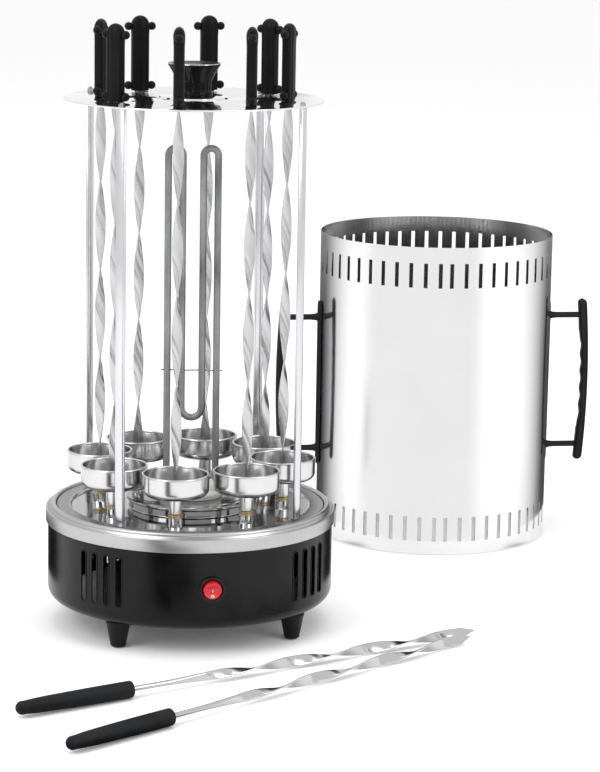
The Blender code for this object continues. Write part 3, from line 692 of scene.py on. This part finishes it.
def make_feet():
    top = heights("foot_1")[1]
    outline = raised(top, (0.0, 0.0), (0.0112, 0.0), (0.0115, -0.0006), (0.0113, -0.0026),
                     (0.0108, -0.0032))
    outline += [(0.0080, 0.0060)] + arc((0.0042, 0.0034), 0.0034, 15, -90, 8) + [(0.0, 0.0)]
    mesh = finished(turned(outline, 48), 40)
    for i in range(4):
        place = Matrix.Translation(on_table(middle(f"foot_{i + 1}")))
        show(f"tapered_foot_{i + 1}", mesh, "rubber", "base",
             place, f"foot_{i + 1}")


def screw_head(radius, height):
    """A domed cross-head screw standing on z = 0."""
    dome = [(0.0, height)]
    for i in range(1, 7):
        share = i / 6
        dome.append((radius * sin(share * QUARTER), height * cos(share * QUARTER * 0.92)))
    head = turned(dome + [(radius, 0.0), (0.0, 0.0)], 24)
    arms = []
    for turn in (0.0, QUARTER):
        slot = box((radius * 1.1, radius * 0.22, height), (0.0, 0.0, height * 1.05))
        arms.append(moved(slot, spin(turn)))
    return cut(head, [joined(arms[0], [arms[1]])])


def make_underside():
    mesh = finished(screw_head(0.0035, 0.0016))
    low = heights("bottom_plate")[0]
    flip = spin(pi, "X")
    for i in range(PLATE_SCREWS):
        angle = radians(15 + 360 / PLATE_SCREWS * i)
        place = around(PLATE_SCREW_CIRCLE, angle, low - 0.00002) @ flip
        show(f"plate_screw_{i + 1}", mesh, "nut", "base", place)


# ---- posts, disc and knob ----
def make_posts():
    """Flat-oval bars, each with a small nut on the disc."""
    low, high = heights("post_1")
    rings = []
    for z, share in ((low, 0.94), (low + 0.0004, 1.0), (high - 0.0004, 1.0), (high, 0.94)):
        rings.append(lifted(superellipse(0.00225 * share, 0.005 * share, 2.6, 40), z))
    mesh = finished(loft(rings), 50)
    nut = finished(joined(prism(superellipse(0.0030, 0.0030, 2.0, 6), 0.0, 0.0022),
                          [cylinder(0.0018, 0.001, 0.0036, 20, 0.0006)]))
    for i in range(4):
        angle = angle_of(middle(f"post_{i + 1}"))
        place = around(POST_CIRCLE, angle)
        show(f"oval_post_{i + 1}", mesh, "post", "base", place, f"post_{i + 1}")
        place = around(POST_CIRCLE - 0.0005, angle, DISC_TOP)
        show(f"post_nut_{i + 1}", nut, "nut", "base", place)


def make_disc():
    boss = DISC_BOSS_RADIUS
    edge = DISC_RADIUS - 0.0006
    outline = raised(DISC_BOSS_TOP, (0.0, 0.0), (boss - 0.0024, 0.0), (boss - 0.0012, -0.0004))
    outline += raised(DISC_TOP, (boss, 0.0002), (boss + 0.0006, 0.0))
    outline += arc((edge, DISC_TOP - 0.0006), 0.0006, 90, 0, 4)
    outline += arc((edge, DISC_BOTTOM + 0.0006), 0.0006, 0, -90, 4)
    outline += [(0.0, DISC_BOTTOM)]
    tools = bores(STATION_SPOTS, DISC_HOLE, 0.48, 0.51)
    mesh = finished(cut(turned(outline, 180), [merged(tools)]), 25)
    show("mirror_disc", mesh, "disc", "base", AXIS, "top_disc")
    collar = raised(DISC_BOTTOM, (0.0058, -0.0001), (0.0078, -0.0001), (0.0078, -0.0006),
                    (0.0066, -0.0009), (0.0064, -0.0022), (0.0058, -0.0022))
    mesh = finished(turned(collar, 40, ring=True))
    for i in range(STATIONS):
        show(f"disc_collar_{i + 1}", mesh, "post", "base", station_place(i))


KNOB_LIP = 0.02425
KNOB_RIBS = 20
KNOB_RIB_DEPTH = 0.022      # as a share of the waist's radius


def make_knob():
    """A funnel with a dished top, a ribbed waist and a bright hoop let into its lip."""
    low, high = heights("top_knob")
    outline = raised(high, (0.0, -0.0022), (0.012, -0.0018), (0.0205, -0.0007))
    outline += arc((KNOB_LIP - 0.0012, high - 0.0012), 0.0012, 100, -40, 8)
    outline += raised(high, (0.0232, -0.0032), (0.0200, -0.0085), (0.0172, -0.0138),
                      (0.0160, -0.0160), (0.0155, -0.0175))
    outline += [(0.0155, high - 0.0175 - 0.0008 * i) for i in range(1, 10)]
    outline += raised(low, (0.0160, 0.0045), (0.0168, 0.0036), (0.0170, 0.0012),
                      (0.0166, 0.0), (0.0, 0.0))
    body = turned(outline, 120)
    for vertex in body.data.vertices:
        ribbed = smooth_step((vertex.co.z - low - 0.003) / 0.002)
        ribbed *= smooth_step((high - 0.013 - vertex.co.z) / 0.004)
        if vertex.co.xy.length > 0.012:
            turn = atan2(vertex.co.y, vertex.co.x)
            scale = 1.0 + KNOB_RIB_DEPTH * ribbed * cos(KNOB_RIBS * turn)
            vertex.co.x *= scale
            vertex.co.y *= scale
    show("funnel_knob", finished(body, 40), "knob", "base", AXIS, "top_knob")
    hoop = lifted(arc((0.0, 0.0), KNOB_LIP - 0.0003, 0, 360, 96)[:-1], high - 0.0005)
    mesh = finished(rod_along(hoop, 0.0004, cyclic=True), 60)
    show("knob_hoop", mesh, "tube", "base", AXIS)


# ---- stations ----
def make_cups():
    """Drip cup on a chrome tube, carried in the deck by a bush of steel and brass."""
    low, rim = heights("drip_cup_1")
    floor = rim - 0.021
    hub = floor + 0.007
    bore_top = floor - 0.0067
    wall = 0.001
    outline = raised(hub, (0.0, 0.0), (0.0072, 0.0), (0.0080, -0.0008))
    outline += raised(floor, (0.0080, wall + 0.001), (0.0090, wall))
    outline += arc((CUP_RADIUS - 0.0072, floor + 0.0072), 0.0062, -90, 0, 9)
    outline += [(CUP_RADIUS - wall - 0.0006, rim - 0.0026)]
    outline += arc((CUP_RADIUS - 0.0011, rim - 0.0011), 0.0011, 180, -40, 12)
    outline += [(CUP_RADIUS - 0.0002, rim - 0.0030)]
    outline += arc((CUP_RADIUS - 0.0074, floor + 0.0072), 0.0072, 0, -90, 12)
    outline += raised(floor, (0.0068, 0.0), (0.00625, -0.0005))
    outline += raised(low, (0.00625, 0.0004), (0.0058, 0.0), (0.0044, 0.0))
    outline += raised(bore_top, (0.0044, 0.0), (0.0, 0.0))
    slot = box((*BLADE_SLOT, 0.02), (0.0, 0.0, hub - 0.002))
    cup = finished(cut(turned(outline, 96), [slot]))
    brass_low = BUSH_TOP - 0.0032
    outline = raised(brass_low, (0.0044, -0.0001), (0.0060, -0.0001), (0.0064, -0.0005))
    outline += raised(MIRROR_TOP, (0.0064, 0.0004), (0.0066, -0.0002), (0.0066, -0.006),
                      (0.0044, -0.006))
    collar = finished(turned(outline, 48, ring=True))
    outline = raised(BUSH_TOP, (0.0044, 0.0), (0.0059, 0.0), (0.0065, -0.0006), (0.0065, -0.0013),
                     (0.0061, -0.0015), (0.0061, -0.0019), (0.0065, -0.0021))
    outline += raised(brass_low, (0.0065, 0.0004), (0.0061, 0.0), (0.0044, 0.0))
    ring = finished(turned(outline, 48, ring=True))
    for i in range(STATIONS):
        number = i + 1
        place = station_place(i)
        show(f"polished_cup_{number}", cup, "cup", f"spindle_{number}",
             skewer_place(i), f"drip_cup_{number}")
        show(f"bush_collar_{number}", collar, "tube", "base", place)
        show(f"brass_bush_{number}", ring, "brass", "base", place)


def blade_corners():
    """A thin oblong with its long edges ground to a small bevel."""
    land = BLADE_HALF_WIDTH - BLADE_HALF_THICKNESS * 0.8
    edge = BLADE_HALF_THICKNESS * 0.35
    half = [(BLADE_HALF_WIDTH, -edge), (BLADE_HALF_WIDTH, edge), (land, BLADE_HALF_THICKNESS),
            (-land, BLADE_HALF_THICKNESS)]
    return half + [(-x, -y) for x, y in half]


def make_blades():
    low, high = heights("skewer_blade_1")
    corners = blade_corners()
    steps = 144
    rings = [lifted(corners, low)]
    for i in range(steps + 1):
        height = TWIST_START + (TWIST_END - TWIST_START) * i / steps
        turn = pi * HALF_TWISTS * i / steps
        rings.append(lifted(spun(corners, turn), height))
    rings.append(lifted(corners, high))
    mesh = finished(loft(rings), 40)
    for i in range(STATIONS):
        show(f"twisted_blade_{i + 1}", mesh, "blade", f"skewer_{i + 1}",
             skewer_place(i), f"skewer_blade_{i + 1}")


def handle_section(half_x, half_y):
    """The grip's outline: an oblong with two shallow flutes down each broad side."""
    points = []
    for x, y in superellipse(half_x, half_y, 3.4, 64):
        flute = exp(-((abs(x) / half_x - 0.52) / 0.15) ** 2)
        points.append((x, y * (1 - 0.16 * flute)))
    return points


def make_skewer_handles():
    low, high = heights("skewer_handle_1")
    half_x = 0.0084
    half_y = 0.0050
    levels = [(0.0, 0.93, 0.93), (0.0006, 0.99, 0.99), (0.0012, 1.0, 1.0), (0.052, 1.0, 1.0),
              (0.056, 1.03, 1.04)]
    shoulder = low + 0.0615
    rings = []
    for rise, wide, deep in levels:
        rings.append(lifted(handle_section(half_x * wide, half_y * deep), low + rise))
    for i in range(9):
        share = sin(i / 8 * QUARTER * 0.985)
        fall = sqrt(max(1 - share * share, 0.0))
        height = shoulder + (high - shoulder) * share
        outline = handle_section(half_x * fall * 0.98, half_y * max(fall, 0.06) * 1.08)
        rings.append(lifted(outline, height))
    body = loft(rings)
    ball = 0.0039
    reach = 0.0150
    half = [(0.0, reach)] + arc((0.0, reach - ball * 0.96), ball, 80, -40, 12)
    half += [(0.0028, reach - 0.0066)]
    outline = half + [(radius, -height) for radius, height in reversed(half)]
    pins = []
    for height in (0.0048, 0.060):
        pins.append(moved(turned(outline, 40), up(low + height) @ LIE))
    pocket = box((*BLADE_SLOT, 0.052), (0.0, 0.0, low))
    mesh = finished(cut(joined(body, pins), [pocket]), 36)
    for i in range(STATIONS):
        show(f"moulded_handle_{i + 1}", mesh, "handle", f"skewer_{i + 1}",
             skewer_place(i), f"skewer_handle_{i + 1}")


# ---- heater ----
def make_heater():
    low, high = heights("heater_element")
    crown = (HEATER_OUTER - HEATER_INNER) / 2
    crown_middle = (HEATER_OUTER + HEATER_INNER) / 2
    leg_top = high - HEATER_RADIUS - crown
    low_bend = 0.195
    half = [(HEATER_OUTER, low + (leg_top - low) * i / 6) for i in range(6)]
    half += arc((crown_middle, leg_top), crown, 0, 180, 20)
    half += arc((0.0, low_bend + HEATER_INNER), HEATER_INNER, 0, -90, 12)
    other = [(-x, z) for x, z in reversed(half[:-1])]
    route = [(x, 0.0, z) for x, z in half + other]
    mesh = finished(rod_along(route, HEATER_RADIUS, resolution=6), 50)
    show("heater_rod", mesh, "heater", "base", AXIS, "heater_element")

    base_low, base_high = heights("heater_base")
    outline = [(0.0, base_high), (0.0265, base_high)]
    outline += arc((0.0280, base_high - 0.002), 0.002, 90, 0, 6)
    outline += [(0.0300, base_low), (0.0, base_low)]
    holes = bores(LEG_SPOTS, LEG_HOLE, 0.11, 0.13)
    mesh = finished(cut(turned(outline, 72), [merged(holes)]))
    show("heater_flange", mesh, "ceramic", "base", AXIS, "heater_base")

    bead = raised(base_high, (LEG_HOLE, 0.0100), (0.0050, 0.0096), (0.0054, 0.0088),
                  (0.0054, 0.0004), (LEG_HOLE, 0.0004))
    mesh = finished(turned(bead, 32, ring=True))
    for number, spot in enumerate(LEG_SPOTS, 1):
        place = Matrix.Translation(TOWER + spot)
        show(f"heater_bead_{number}", mesh, "ceramic", "base", place)

    wire = []
    reach = HEATER_RADIUS + 0.0009
    legs = (-HEATER_OUTER, -HEATER_INNER, HEATER_INNER, HEATER_OUTER)
    for i in range(121):
        x = -HEATER_OUTER - 0.006 + (2 * HEATER_OUTER + 0.012) * i / 120
        nearest = min(legs, key=lambda leg: abs(leg - x))
        side = 1 if legs.index(nearest) % 2 == 0 else -1
        swing = exp(-((x - nearest) / 0.0032) ** 2)
        wire.append((x, side * reach * swing, 0.240))
    mesh = finished(rod_along(wire, 0.0007, resolution=3), 60)
    show("heater_spacer", mesh, "nut", "base", AXIS)


# ---- switch and gland ----
MARK_LINE = 0.00022     # half the width of the marks on the rocker


def make_switch():
    place = facing_out(TOWER, DRUM_RADIUS, SWITCH_ANGLE, SWITCH.z)
    bore = 0.0089
    outline = [(bore, 0.0022), (bore + 0.0006, 0.0029), (bore + 0.0014, 0.0031)]
    outline += arc((0.0106, 0.0017), 0.0014, 80, 0, 7) + [(0.0120, 0.0005), (0.0098, 0.0005)]
    outline += [(0.0098, -0.012), (bore, -0.012)]
    mesh = finished(turned(outline, 96, ring=True), 40)
    show("switch_surround", mesh, "bezel", "base", place, "switch_bezel")

    sphere = 0.0086
    half = 0.0035
    edge = degrees(asin(half / sphere))
    rim = sqrt(sphere ** 2 - half ** 2)
    outline = [(0.0, half - 0.0008)]
    outline += [(rim * share / 8, half) for share in range(1, 8)]
    outline += arc((0.0, 0.0), sphere, edge, -edge, 10) + [(0.0, -half)]
    body = turned(outline, 96)
    for vertex in body.data.vertices:
        if vertex.co.z > half * 0.6:
            inwards = min(1.0, (rim - vertex.co.xy.length) / 0.001)
            vertex.co.z -= 0.0010 * (1 - (vertex.co.y / rim) ** 2) * inwards
    tilt = spin(radians(10.0), "X")
    place = facing_out(TOWER, DRUM_RADIUS + 0.0012, SWITCH_ANGLE, SWITCH.z) @ tilt
    show("rocker_cap", finished(body, 50), "rocker", "rocker", place, "switch_rocker")

    ring = [(0.0013 * x, 0.0011 * y - 0.0052, half - 0.0004)
            for x, y in arc((0.0, 0.0), 1.0, 0, 360, 32)[:-1]]
    bar = [(0.0, 0.0012 - 0.0026 * i / 6, half - 0.00085) for i in range(7)]
    marks = merged([rod_along(ring, MARK_LINE, cyclic=True), rod_along(bar, MARK_LINE)])
    show("rocker_marks", finished(marks, 60), "mark", "rocker", place)


def make_gland():
    place = facing_out(TOWER, DRUM_RADIUS, pi, GLAND_HEIGHT)
    outline = [(0.0035, 0.0088), (0.0046, 0.0090), (0.0051, 0.0086)]
    for i in range(4):
        base = 0.0080 - 0.0014 * i
        grow = 0.0051 + 0.00028 * i
        outline += raised(base, (grow, 0.0), (grow - 0.0005, -0.0003), (grow - 0.0005, -0.0008),
                          (grow, -0.0011))
    outline += [(0.0064, 0.0026), (0.0090, 0.0025), (0.0095, 0.0020), (0.0095, 0.0005)]
    outline += [(0.0067, 0.0005), (0.0067, -0.0080), (0.0035, -0.0080)]
    mesh = finished(turned(outline, 64, ring=True), 40)
    show("cord_strain_relief", mesh, "handle", "base", place, "cord_gland")


# ---- cover ----
COVER_SLOTS = 51
COVER_SLOT_WIDTH = 0.004
COVER_WALL = 0.0008
COVER_SLOT_ROWS = ((0.014, 0.0395), (0.2805, 0.306))
COVER_SEAM = radians(-96.4)
COVER_SEAM_GAP = radians(5.4)
GRIP_REACH = 0.0475
STEM_SPREAD = 0.071
COVER_PLACE = Matrix.Translation(COVER) @ spin(COVER_TURN)


def make_cover():
    """A rolled sheet with two rows of slots that go round from its lapped seam."""
    pitch = (2 * pi - COVER_SEAM_GAP) / (COVER_SLOTS - 1)
    half_slot = COVER_SLOT_WIDTH / COVER_RADIUS / 2
    levels = [0.0, *COVER_SLOT_ROWS[0], *COVER_SLOT_ROWS[1], COVER_HEIGHT]
    shape = bmesh.new()
    columns = []
    for i in range(COVER_SLOTS):
        start = COVER_SEAM + COVER_SEAM_GAP / 2 + i * pitch - half_slot
        step = pitch if i < COVER_SLOTS - 1 else COVER_SEAM_GAP
        turns = [start, start + half_slot, start + 2 * half_slot]
        turns += [turns[2] + (step - 2 * half_slot) * j / 4 for j in range(1, 4)]
        for turn in turns:
            x = COVER_RADIUS * cos(turn)
            y = COVER_RADIUS * sin(turn)
            columns.append([shape.verts.new((x, y, z)) for z in levels])
    for c, left in enumerate(columns):
        right = columns[(c + 1) % len(columns)]
        for row in range(len(levels) - 1):
            if not (c % 6 < 2 and row % 2 == 1):
                shape.faces.new((left[row], right[row], right[row + 1], left[row + 1]))
    wall = guide_from(shape)
    solidify = wall.modifiers.new("wall", "SOLIDIFY")
    solidify.thickness = COVER_WALL
    solidify.offset = -1.0
    show("slotted_cover", finished(wall), "cover", "cover", COVER_PLACE,
         "cover_shell")

    inner = COVER_RADIUS - COVER_WALL
    lap = degrees(0.028)
    strip = arc((0.0, 0.0), inner - 0.0001, -lap, lap, 8)
    strip += arc((0.0, 0.0), inner - 0.0007, lap, -lap, 8)
    mesh = finished(prism(strip, 0.002, 0.0025, COVER_HEIGHT - 0.0025, COVER_HEIGHT - 0.002))
    seam_place = COVER_PLACE @ spin(COVER_SEAM)
    show("cover_seam", mesh, "cover", "cover", seam_place)


def make_cover_handles():
    """Backing strip, two flared stems and a bulged grip with finger waves inside."""
    back = COVER_RADIUS + 0.0004
    low, high = heights("cover_handle_right")
    height = high - low
    outer = COVER_RADIUS + GRIP_REACH
    rings = []
    for x, wide, tall in ((back, 1.0, 1.0), (back + 0.0018, 1.0, 1.0), (back + 0.0025, 0.9, 0.99)):
        rings.append([(x, px * wide, py * tall) for px, py in stadium(0.014, height, 10)])
    strip = loft(rings)
    rings = []
    count = 96
    for i in range(count + 1):
        along = 2 * i / count - 1
        z = along * height / 2
        bow = 0.004 * (1 - along * along)
        waves = smooth_step((0.62 - abs(along)) / 0.12)
        thick = 0.0096 - waves * (0.0017 + 0.0007 * cos(2 * pi * z / 0.0185))
        end = min(1.0, (1 - abs(along)) / 0.055)
        fullness = sqrt(max(1 - (1 - end) ** 2, 0.02))
        outside = outer - 0.004 + bow
        ring = []
        for px, py in superellipse(1.0, 1.0, 2.5, 36):
            reach = px * 0.0048 if px > 0 else px * (thick - 0.0048)
            ring.append((outside - 0.0048 + reach * fullness, py * 0.0060 * fullness, z))
        rings.append(ring)
    parts = [loft(rings)]
    outline = raised(outer, (0.0, -0.006), (0.0042, -0.006), (0.0034, -0.0095), (0.0031, -0.0145))
    outline += [(0.0031, 0.1345), (0.0036, 0.1290), (0.0048, 0.1262)]
    outline += [(0.0052, back + 0.0012), (0.0, back + 0.0012)]
    for level in (-STEM_SPREAD, STEM_SPREAD):
        parts.append(moved(turned(outline, 32), up(level) @ LIE))
    body = joined(strip, parts)
    centre = middle("cover_handle_right").z
    mesh = finished(moved(body, up(centre)), 36)
    head = finished(screw_head(0.0042, 0.0015))
    for side, turn in (("right", 0.0), ("left", pi)):
        place = COVER_PLACE @ spin(turn)
        show(f"grip_{side}", mesh, "grip", "cover", place, f"cover_handle_{side}")
        for number, level in enumerate((-STEM_SPREAD, STEM_SPREAD), 1):
            spot = (COVER_RADIUS - COVER_WALL - 0.0001, 0.0, centre + level)
            screw_place = place @ Matrix.Translation(spot) @ spin(-QUARTER, "Y")
            show(f"grip_screw_{side}_{number}", head, "nut", "cover", screw_place)


# ---- loose skewers ----
def mean(points):
    return sum(points, Vector()) / len(points)


def loose_place(number):
    """A loose skewer's frame: the origin at the butt, Z along it towards the point."""
    handle = [vertex.co for vertex in nodes[f"loose_skewer_handle_{number}"].data.vertices]
    blade = [vertex.co for vertex in nodes[f"loose_skewer_blade_{number}"].data.vertices]
    rough = (mean(blade) - mean(handle)).normalized()
    tip_reach = max(point.dot(rough) for point in blade)
    tip = mean([point for point in blade if point.dot(rough) > tip_reach - 0.002])
    butt_reach = min(point.dot(rough) for point in handle)
    butt = mean([point for point in handle if point.dot(rough) < butt_reach + 0.0003])
    along = (tip - butt).normalized()
    side = Vector((0.0, 0.0, 1.0)).cross(along).normalized()
    down = side.cross(along)
    matrix = Matrix((-down, side, along)).transposed().to_4x4()
    matrix.translation = butt
    return matrix


LOOSE_NECK = 0.0023


def loose_section(along):
    """A loose blade's section at a share of its length: half width, half thickness,
    power of its superellipse and twist."""
    widen = smooth_step((along - 0.08) / 0.24)
    point = min((1.0 - along) / 0.04, 1.0)
    half_width = LOOSE_NECK + (BLADE_HALF_WIDTH - LOOSE_NECK) * widen
    half_thickness = LOOSE_NECK + (BLADE_HALF_THICKNESS - LOOSE_NECK) * widen
    twist = pi * LOOSE_BLADE / LOOSE_PITCH * max(min(along, 0.94) - LOOSE_PLAIN, 0.0)
    half_width *= 0.06 + 0.94 * point
    half_thickness *= 0.30 + 0.70 * point
    return half_width, half_thickness, 2.0 + 2.5 * widen, twist


def make_loose_skewers():
    high = LOOSE_HANDLE
    full = 0.0075
    outline = [(0.0, high), (full - 0.0014, high)]
    outline += arc((full - 0.0012, high - 0.0012), 0.0012, 90, 0, 5)
    outline += [(full, high - 0.030), (0.0073, high - 0.055), (0.0069, 0.030), (0.0065, 0.018)]
    outline += arc((0.0, 0.0060), 0.0060, 14, -90, 10)
    bore = cylinder(LOOSE_NECK + GAP, high - 0.030, high + 0.01, 24)
    grip_mesh = finished(cut(turned(outline, 64), [bore]), 40)
    steps = 220
    rings = []
    for i in range(-6, steps + 1):
        along = max(i / steps, 0.0)
        height = high + LOOSE_BLADE * i / steps if i >= 0 else high + 0.0297 * i / 6
        half_width, half_thickness, power, twist = loose_section(along)
        outline = superellipse(half_width, half_thickness, power, 24)
        rings.append(lifted(spun(outline, twist), height))
    blade_mesh = finished(loft(rings), 50)
    for number in (1, 2):
        place = loose_place(number)
        body = f"loose_skewer_{number}"
        show(f"loose_grip_{number}", grip_mesh, "loose_grip", body,
             place, f"loose_skewer_handle_{number}")
        show(f"loose_blade_{number}", blade_mesh, "loose_blade", body,
             place, f"loose_skewer_blade_{number}")


# ---- carried-over nodes ----
def dress_hidden_nodes():
    finishes = {"bottom_plate": "plate", "gear_motor": "motor", "sun_gear": "nylon"}
    for i in range(STATIONS):
        finishes[f"drive_spindle_{i + 1}"] = "tube"
    for name, kind in finishes.items():
        mesh = nodes[name].data
        mesh.materials.clear()
        mesh.materials.append(surfaces[kind].material)
        smoothed(mesh)


# ---- studio ----
def make_camera():
    """Seen from the switch side and a little above, with a long lens."""
    data = bpy.data.cameras.new("camera")
    data.lens = 128.4
    data.clip_end = 100.0
    camera = linked("camera", data)
    pan = spin(radians(-2.30))
    tilt = spin(radians(90.0 - 11.11), "X")
    roll = spin(radians(0.98))
    where = Matrix.Translation(TOWER + Vector((0.0, -2.530, 0.723)))
    camera.matrix_world = where @ (pan @ tilt) @ roll
    bpy.context.scene.camera = camera


def make_floor():
    shape = bmesh.new()
    bmesh.ops.create_circle(shape, cap_ends=True, segments=96, radius=40.0)
    floor = linked("floor", mesh_from(shape, "floor"))
    floor.location.z = -0.0005
    floor.data.materials.append(Surface("floor_white", grey(0.93), 0.9).material)


def softbox(name, azimuth, distance, height, size, power):
    """An oblong light aimed at the set; its azimuth runs from -Y towards +X."""
    data = bpy.data.lights.new(name, "AREA")
    data.shape = "RECTANGLE"
    data.size, data.size_y = size
    data.energy = power
    light = linked(name, data)
    turn = radians(azimuth)
    light.location = (distance * sin(turn), -distance * cos(turn), height)
    aim = Vector((0.0, 0.0, 0.25)) - light.location
    light.rotation_euler = aim.to_track_quat("-Z", "Y").to_euler()


def card(name, place, mesh, colour, glow, fade):
    """A studio card that only reflections see: a painted reflection of its glowing colour on the
    pieces; fade is the soft share of each side.
    """
    sheet = linked(name, mesh)
    sheet.matrix_world = place
    for sight in ("camera", "diffuse", "shadow", "transmission"):
        setattr(sheet, f"visible_{sight}", False)
    material = bpy.data.materials.new(name)
    material.use_nodes = True
    tree = material.node_tree
    tree.nodes.clear()
    where = added(tree, "TexCoord").outputs["Generated"]
    split = added(tree, "SeparateXYZ", {0: where})
    shares = {}
    for i, axis in enumerate(("X", "Y")):
        offset = added(tree, "Math", {0: split.outputs[axis], 1: 0.5}, operation="SUBTRACT")
        reach = added(tree, "Math", {0: offset.outputs[0]}, operation="ABSOLUTE")
        inputs = {"Value": reach.outputs[0], "From Min": 0.5 * (1 - fade), "From Max": 0.5,
                  "To Min": 1.0, "To Max": 0.0}
        ramp = added(tree, "MapRange", inputs, interpolation_type="SMOOTHSTEP")
        shares[i] = ramp.outputs["Result"]
    both = added(tree, "Math", shares, operation="MULTIPLY")
    clear = added(tree, "BsdfTransparent")
    paint = added(tree, "Emission", {"Color": (*colour, 1.0), "Strength": glow})
    inputs = {0: both.outputs[0], 1: clear.outputs[0], 2: paint.outputs[0]}
    mix = added(tree, "MixShader", inputs)
    added(tree, "OutputMaterial", {"Surface": mix.outputs[0]})
    mesh.materials.append(material)


def flat_card(name, centre, azimuth, distance, low, high, width, colour, fade=0.6, tilt=0.0):
    """An upright card on a circle round a centre; a tilt leans its top towards the centre."""
    shape = bmesh.new()
    bmesh.ops.create_grid(shape, x_segments=1, y_segments=1, size=0.5)
    place = facing_out(centre, distance, radians(azimuth), (low + high) / 2)
    lean = spin(radians(-tilt), "X")
    scale = Matrix.Diagonal((width, high - low, 1.0, 1.0))
    card(name, place @ lean @ scale, mesh_from(shape, name), colour, 1.0, fade)


def arc_card(name, centre, radius, start, end, high, colour, glow, fade):
    """A card bent round a centre; it runs as far below the floor as it stands above it."""
    half = radians(end - start) / 2
    shape = bmesh.new()
    columns = []
    for i in range(17):
        turn = half * (i / 8 - 1)
        x = radius * sin(turn)
        z = radius * cos(turn)
        columns.append([shape.verts.new((x, y, z)) for y in (-high, high)])
    for left, right in zip(columns, columns[1:]):
        shape.faces.new((left[0], right[0], right[1], left[1]))
    place = facing_out(centre, 0.0, radians((start + end) / 2), 0.0)
    card(name, place, mesh_from(shape, name), colour, glow, fade)


def make_studio():
    world = bpy.data.worlds.new("studio")
    bpy.context.scene.world = world
    world.use_nodes = True
    background = world.node_tree.nodes["Background"]
    background.inputs["Color"].default_value = (1.0, 1.0, 1.0, 1.0)
    background.inputs["Strength"].default_value = 1.02
    bpy.context.scene.view_settings.view_transform = "Standard"
    softbox("light_left", -48.0, 2.6, 1.9, (1.6, 1.8), 40.0)
    softbox("light_right", 52.0, 2.8, 1.8, (1.4, 1.8), 28.0)
    softbox("light_top", 180.0, 0.6, 3.2, (2.4, 2.4), 30.0)
    dark = (0.02, 0.02, 0.022)
    mid = (0.13, 0.13, 0.135)
    soft = (0.08, 0.08, 0.085)
    # Cards that only reflections see, painting dark reflections: a dark streak down the cups, a darker
    # front on the rim, a dark reflection from above and darker edges on the drum and cups.
    flat_card("card_cups", TOWER, -22.0, 0.45, -0.30, 0.30, 0.15, dark)
    flat_card("card_rim", TOWER, -13.0, 0.34, -0.085, 0.085, 0.22, mid, fade=0.9)
    flat_card("card_above", TOWER, 0.0, 1.5, 1.0, 2.1, 1.6, dark, fade=0.5, tilt=35.0)
    flat_card("card_tower_left", TOWER, -119.0, 0.24, -0.12, 0.12, 0.21, dark)
    flat_card("card_tower_right", TOWER, 119.0, 0.24, -0.46, 0.46, 0.16, dark)
    # A dark sheet lying on the floor in front of the tower that only reflections see: a painted dark
    # reflection of the floor, which also lays a painted shadow on the undersides of the loose skewers.
    flat_card("card_drum", TOWER, -10.0, 0.41, -0.209, 0.211, 0.26, dark, fade=0.8, tilt=90.0)
    # Grey arcs beside the cover that only reflections see: painted darker reflections down the cover's
    # sides.
    arc_card("card_cover_left", COVER, 0.19, -193.0, -53.0, 0.75, soft, 1.0, 0.8)
    arc_card("card_cover_right", COVER, 0.19, 48.0, 188.0, 0.75, soft, 1.0, 0.8)
    # A white glowing arc in front of the cover that only reflections see: a painted bright reflection
    # in the cover, laid over the tower's own reflection.
    arc_card("card_tower_hidden", COVER, 0.18, -70.0, 44.0, 0.95, (1.0, 1.0, 1.0), 1.03, 0.4)
    # A dark sheet on the floor inside the cover that only reflections see: painted shade on the
    # cover's inner wall.
    flat_card("card_cover_inside", COVER, 0.0, 0.0, -0.109, 0.111, 0.22, dark, fade=0.3, tilt=90.0)


make_camera()
make_drum()
make_rim()
make_deck()
make_feet()
make_underside()
make_posts()
make_disc()
make_knob()
make_cups()
make_blades()
make_skewer_handles()
make_heater()
make_switch()
make_gland()
make_cover()
make_cover_handles()
make_loose_skewers()
dress_hidden_nodes()
make_floor()
make_studio()
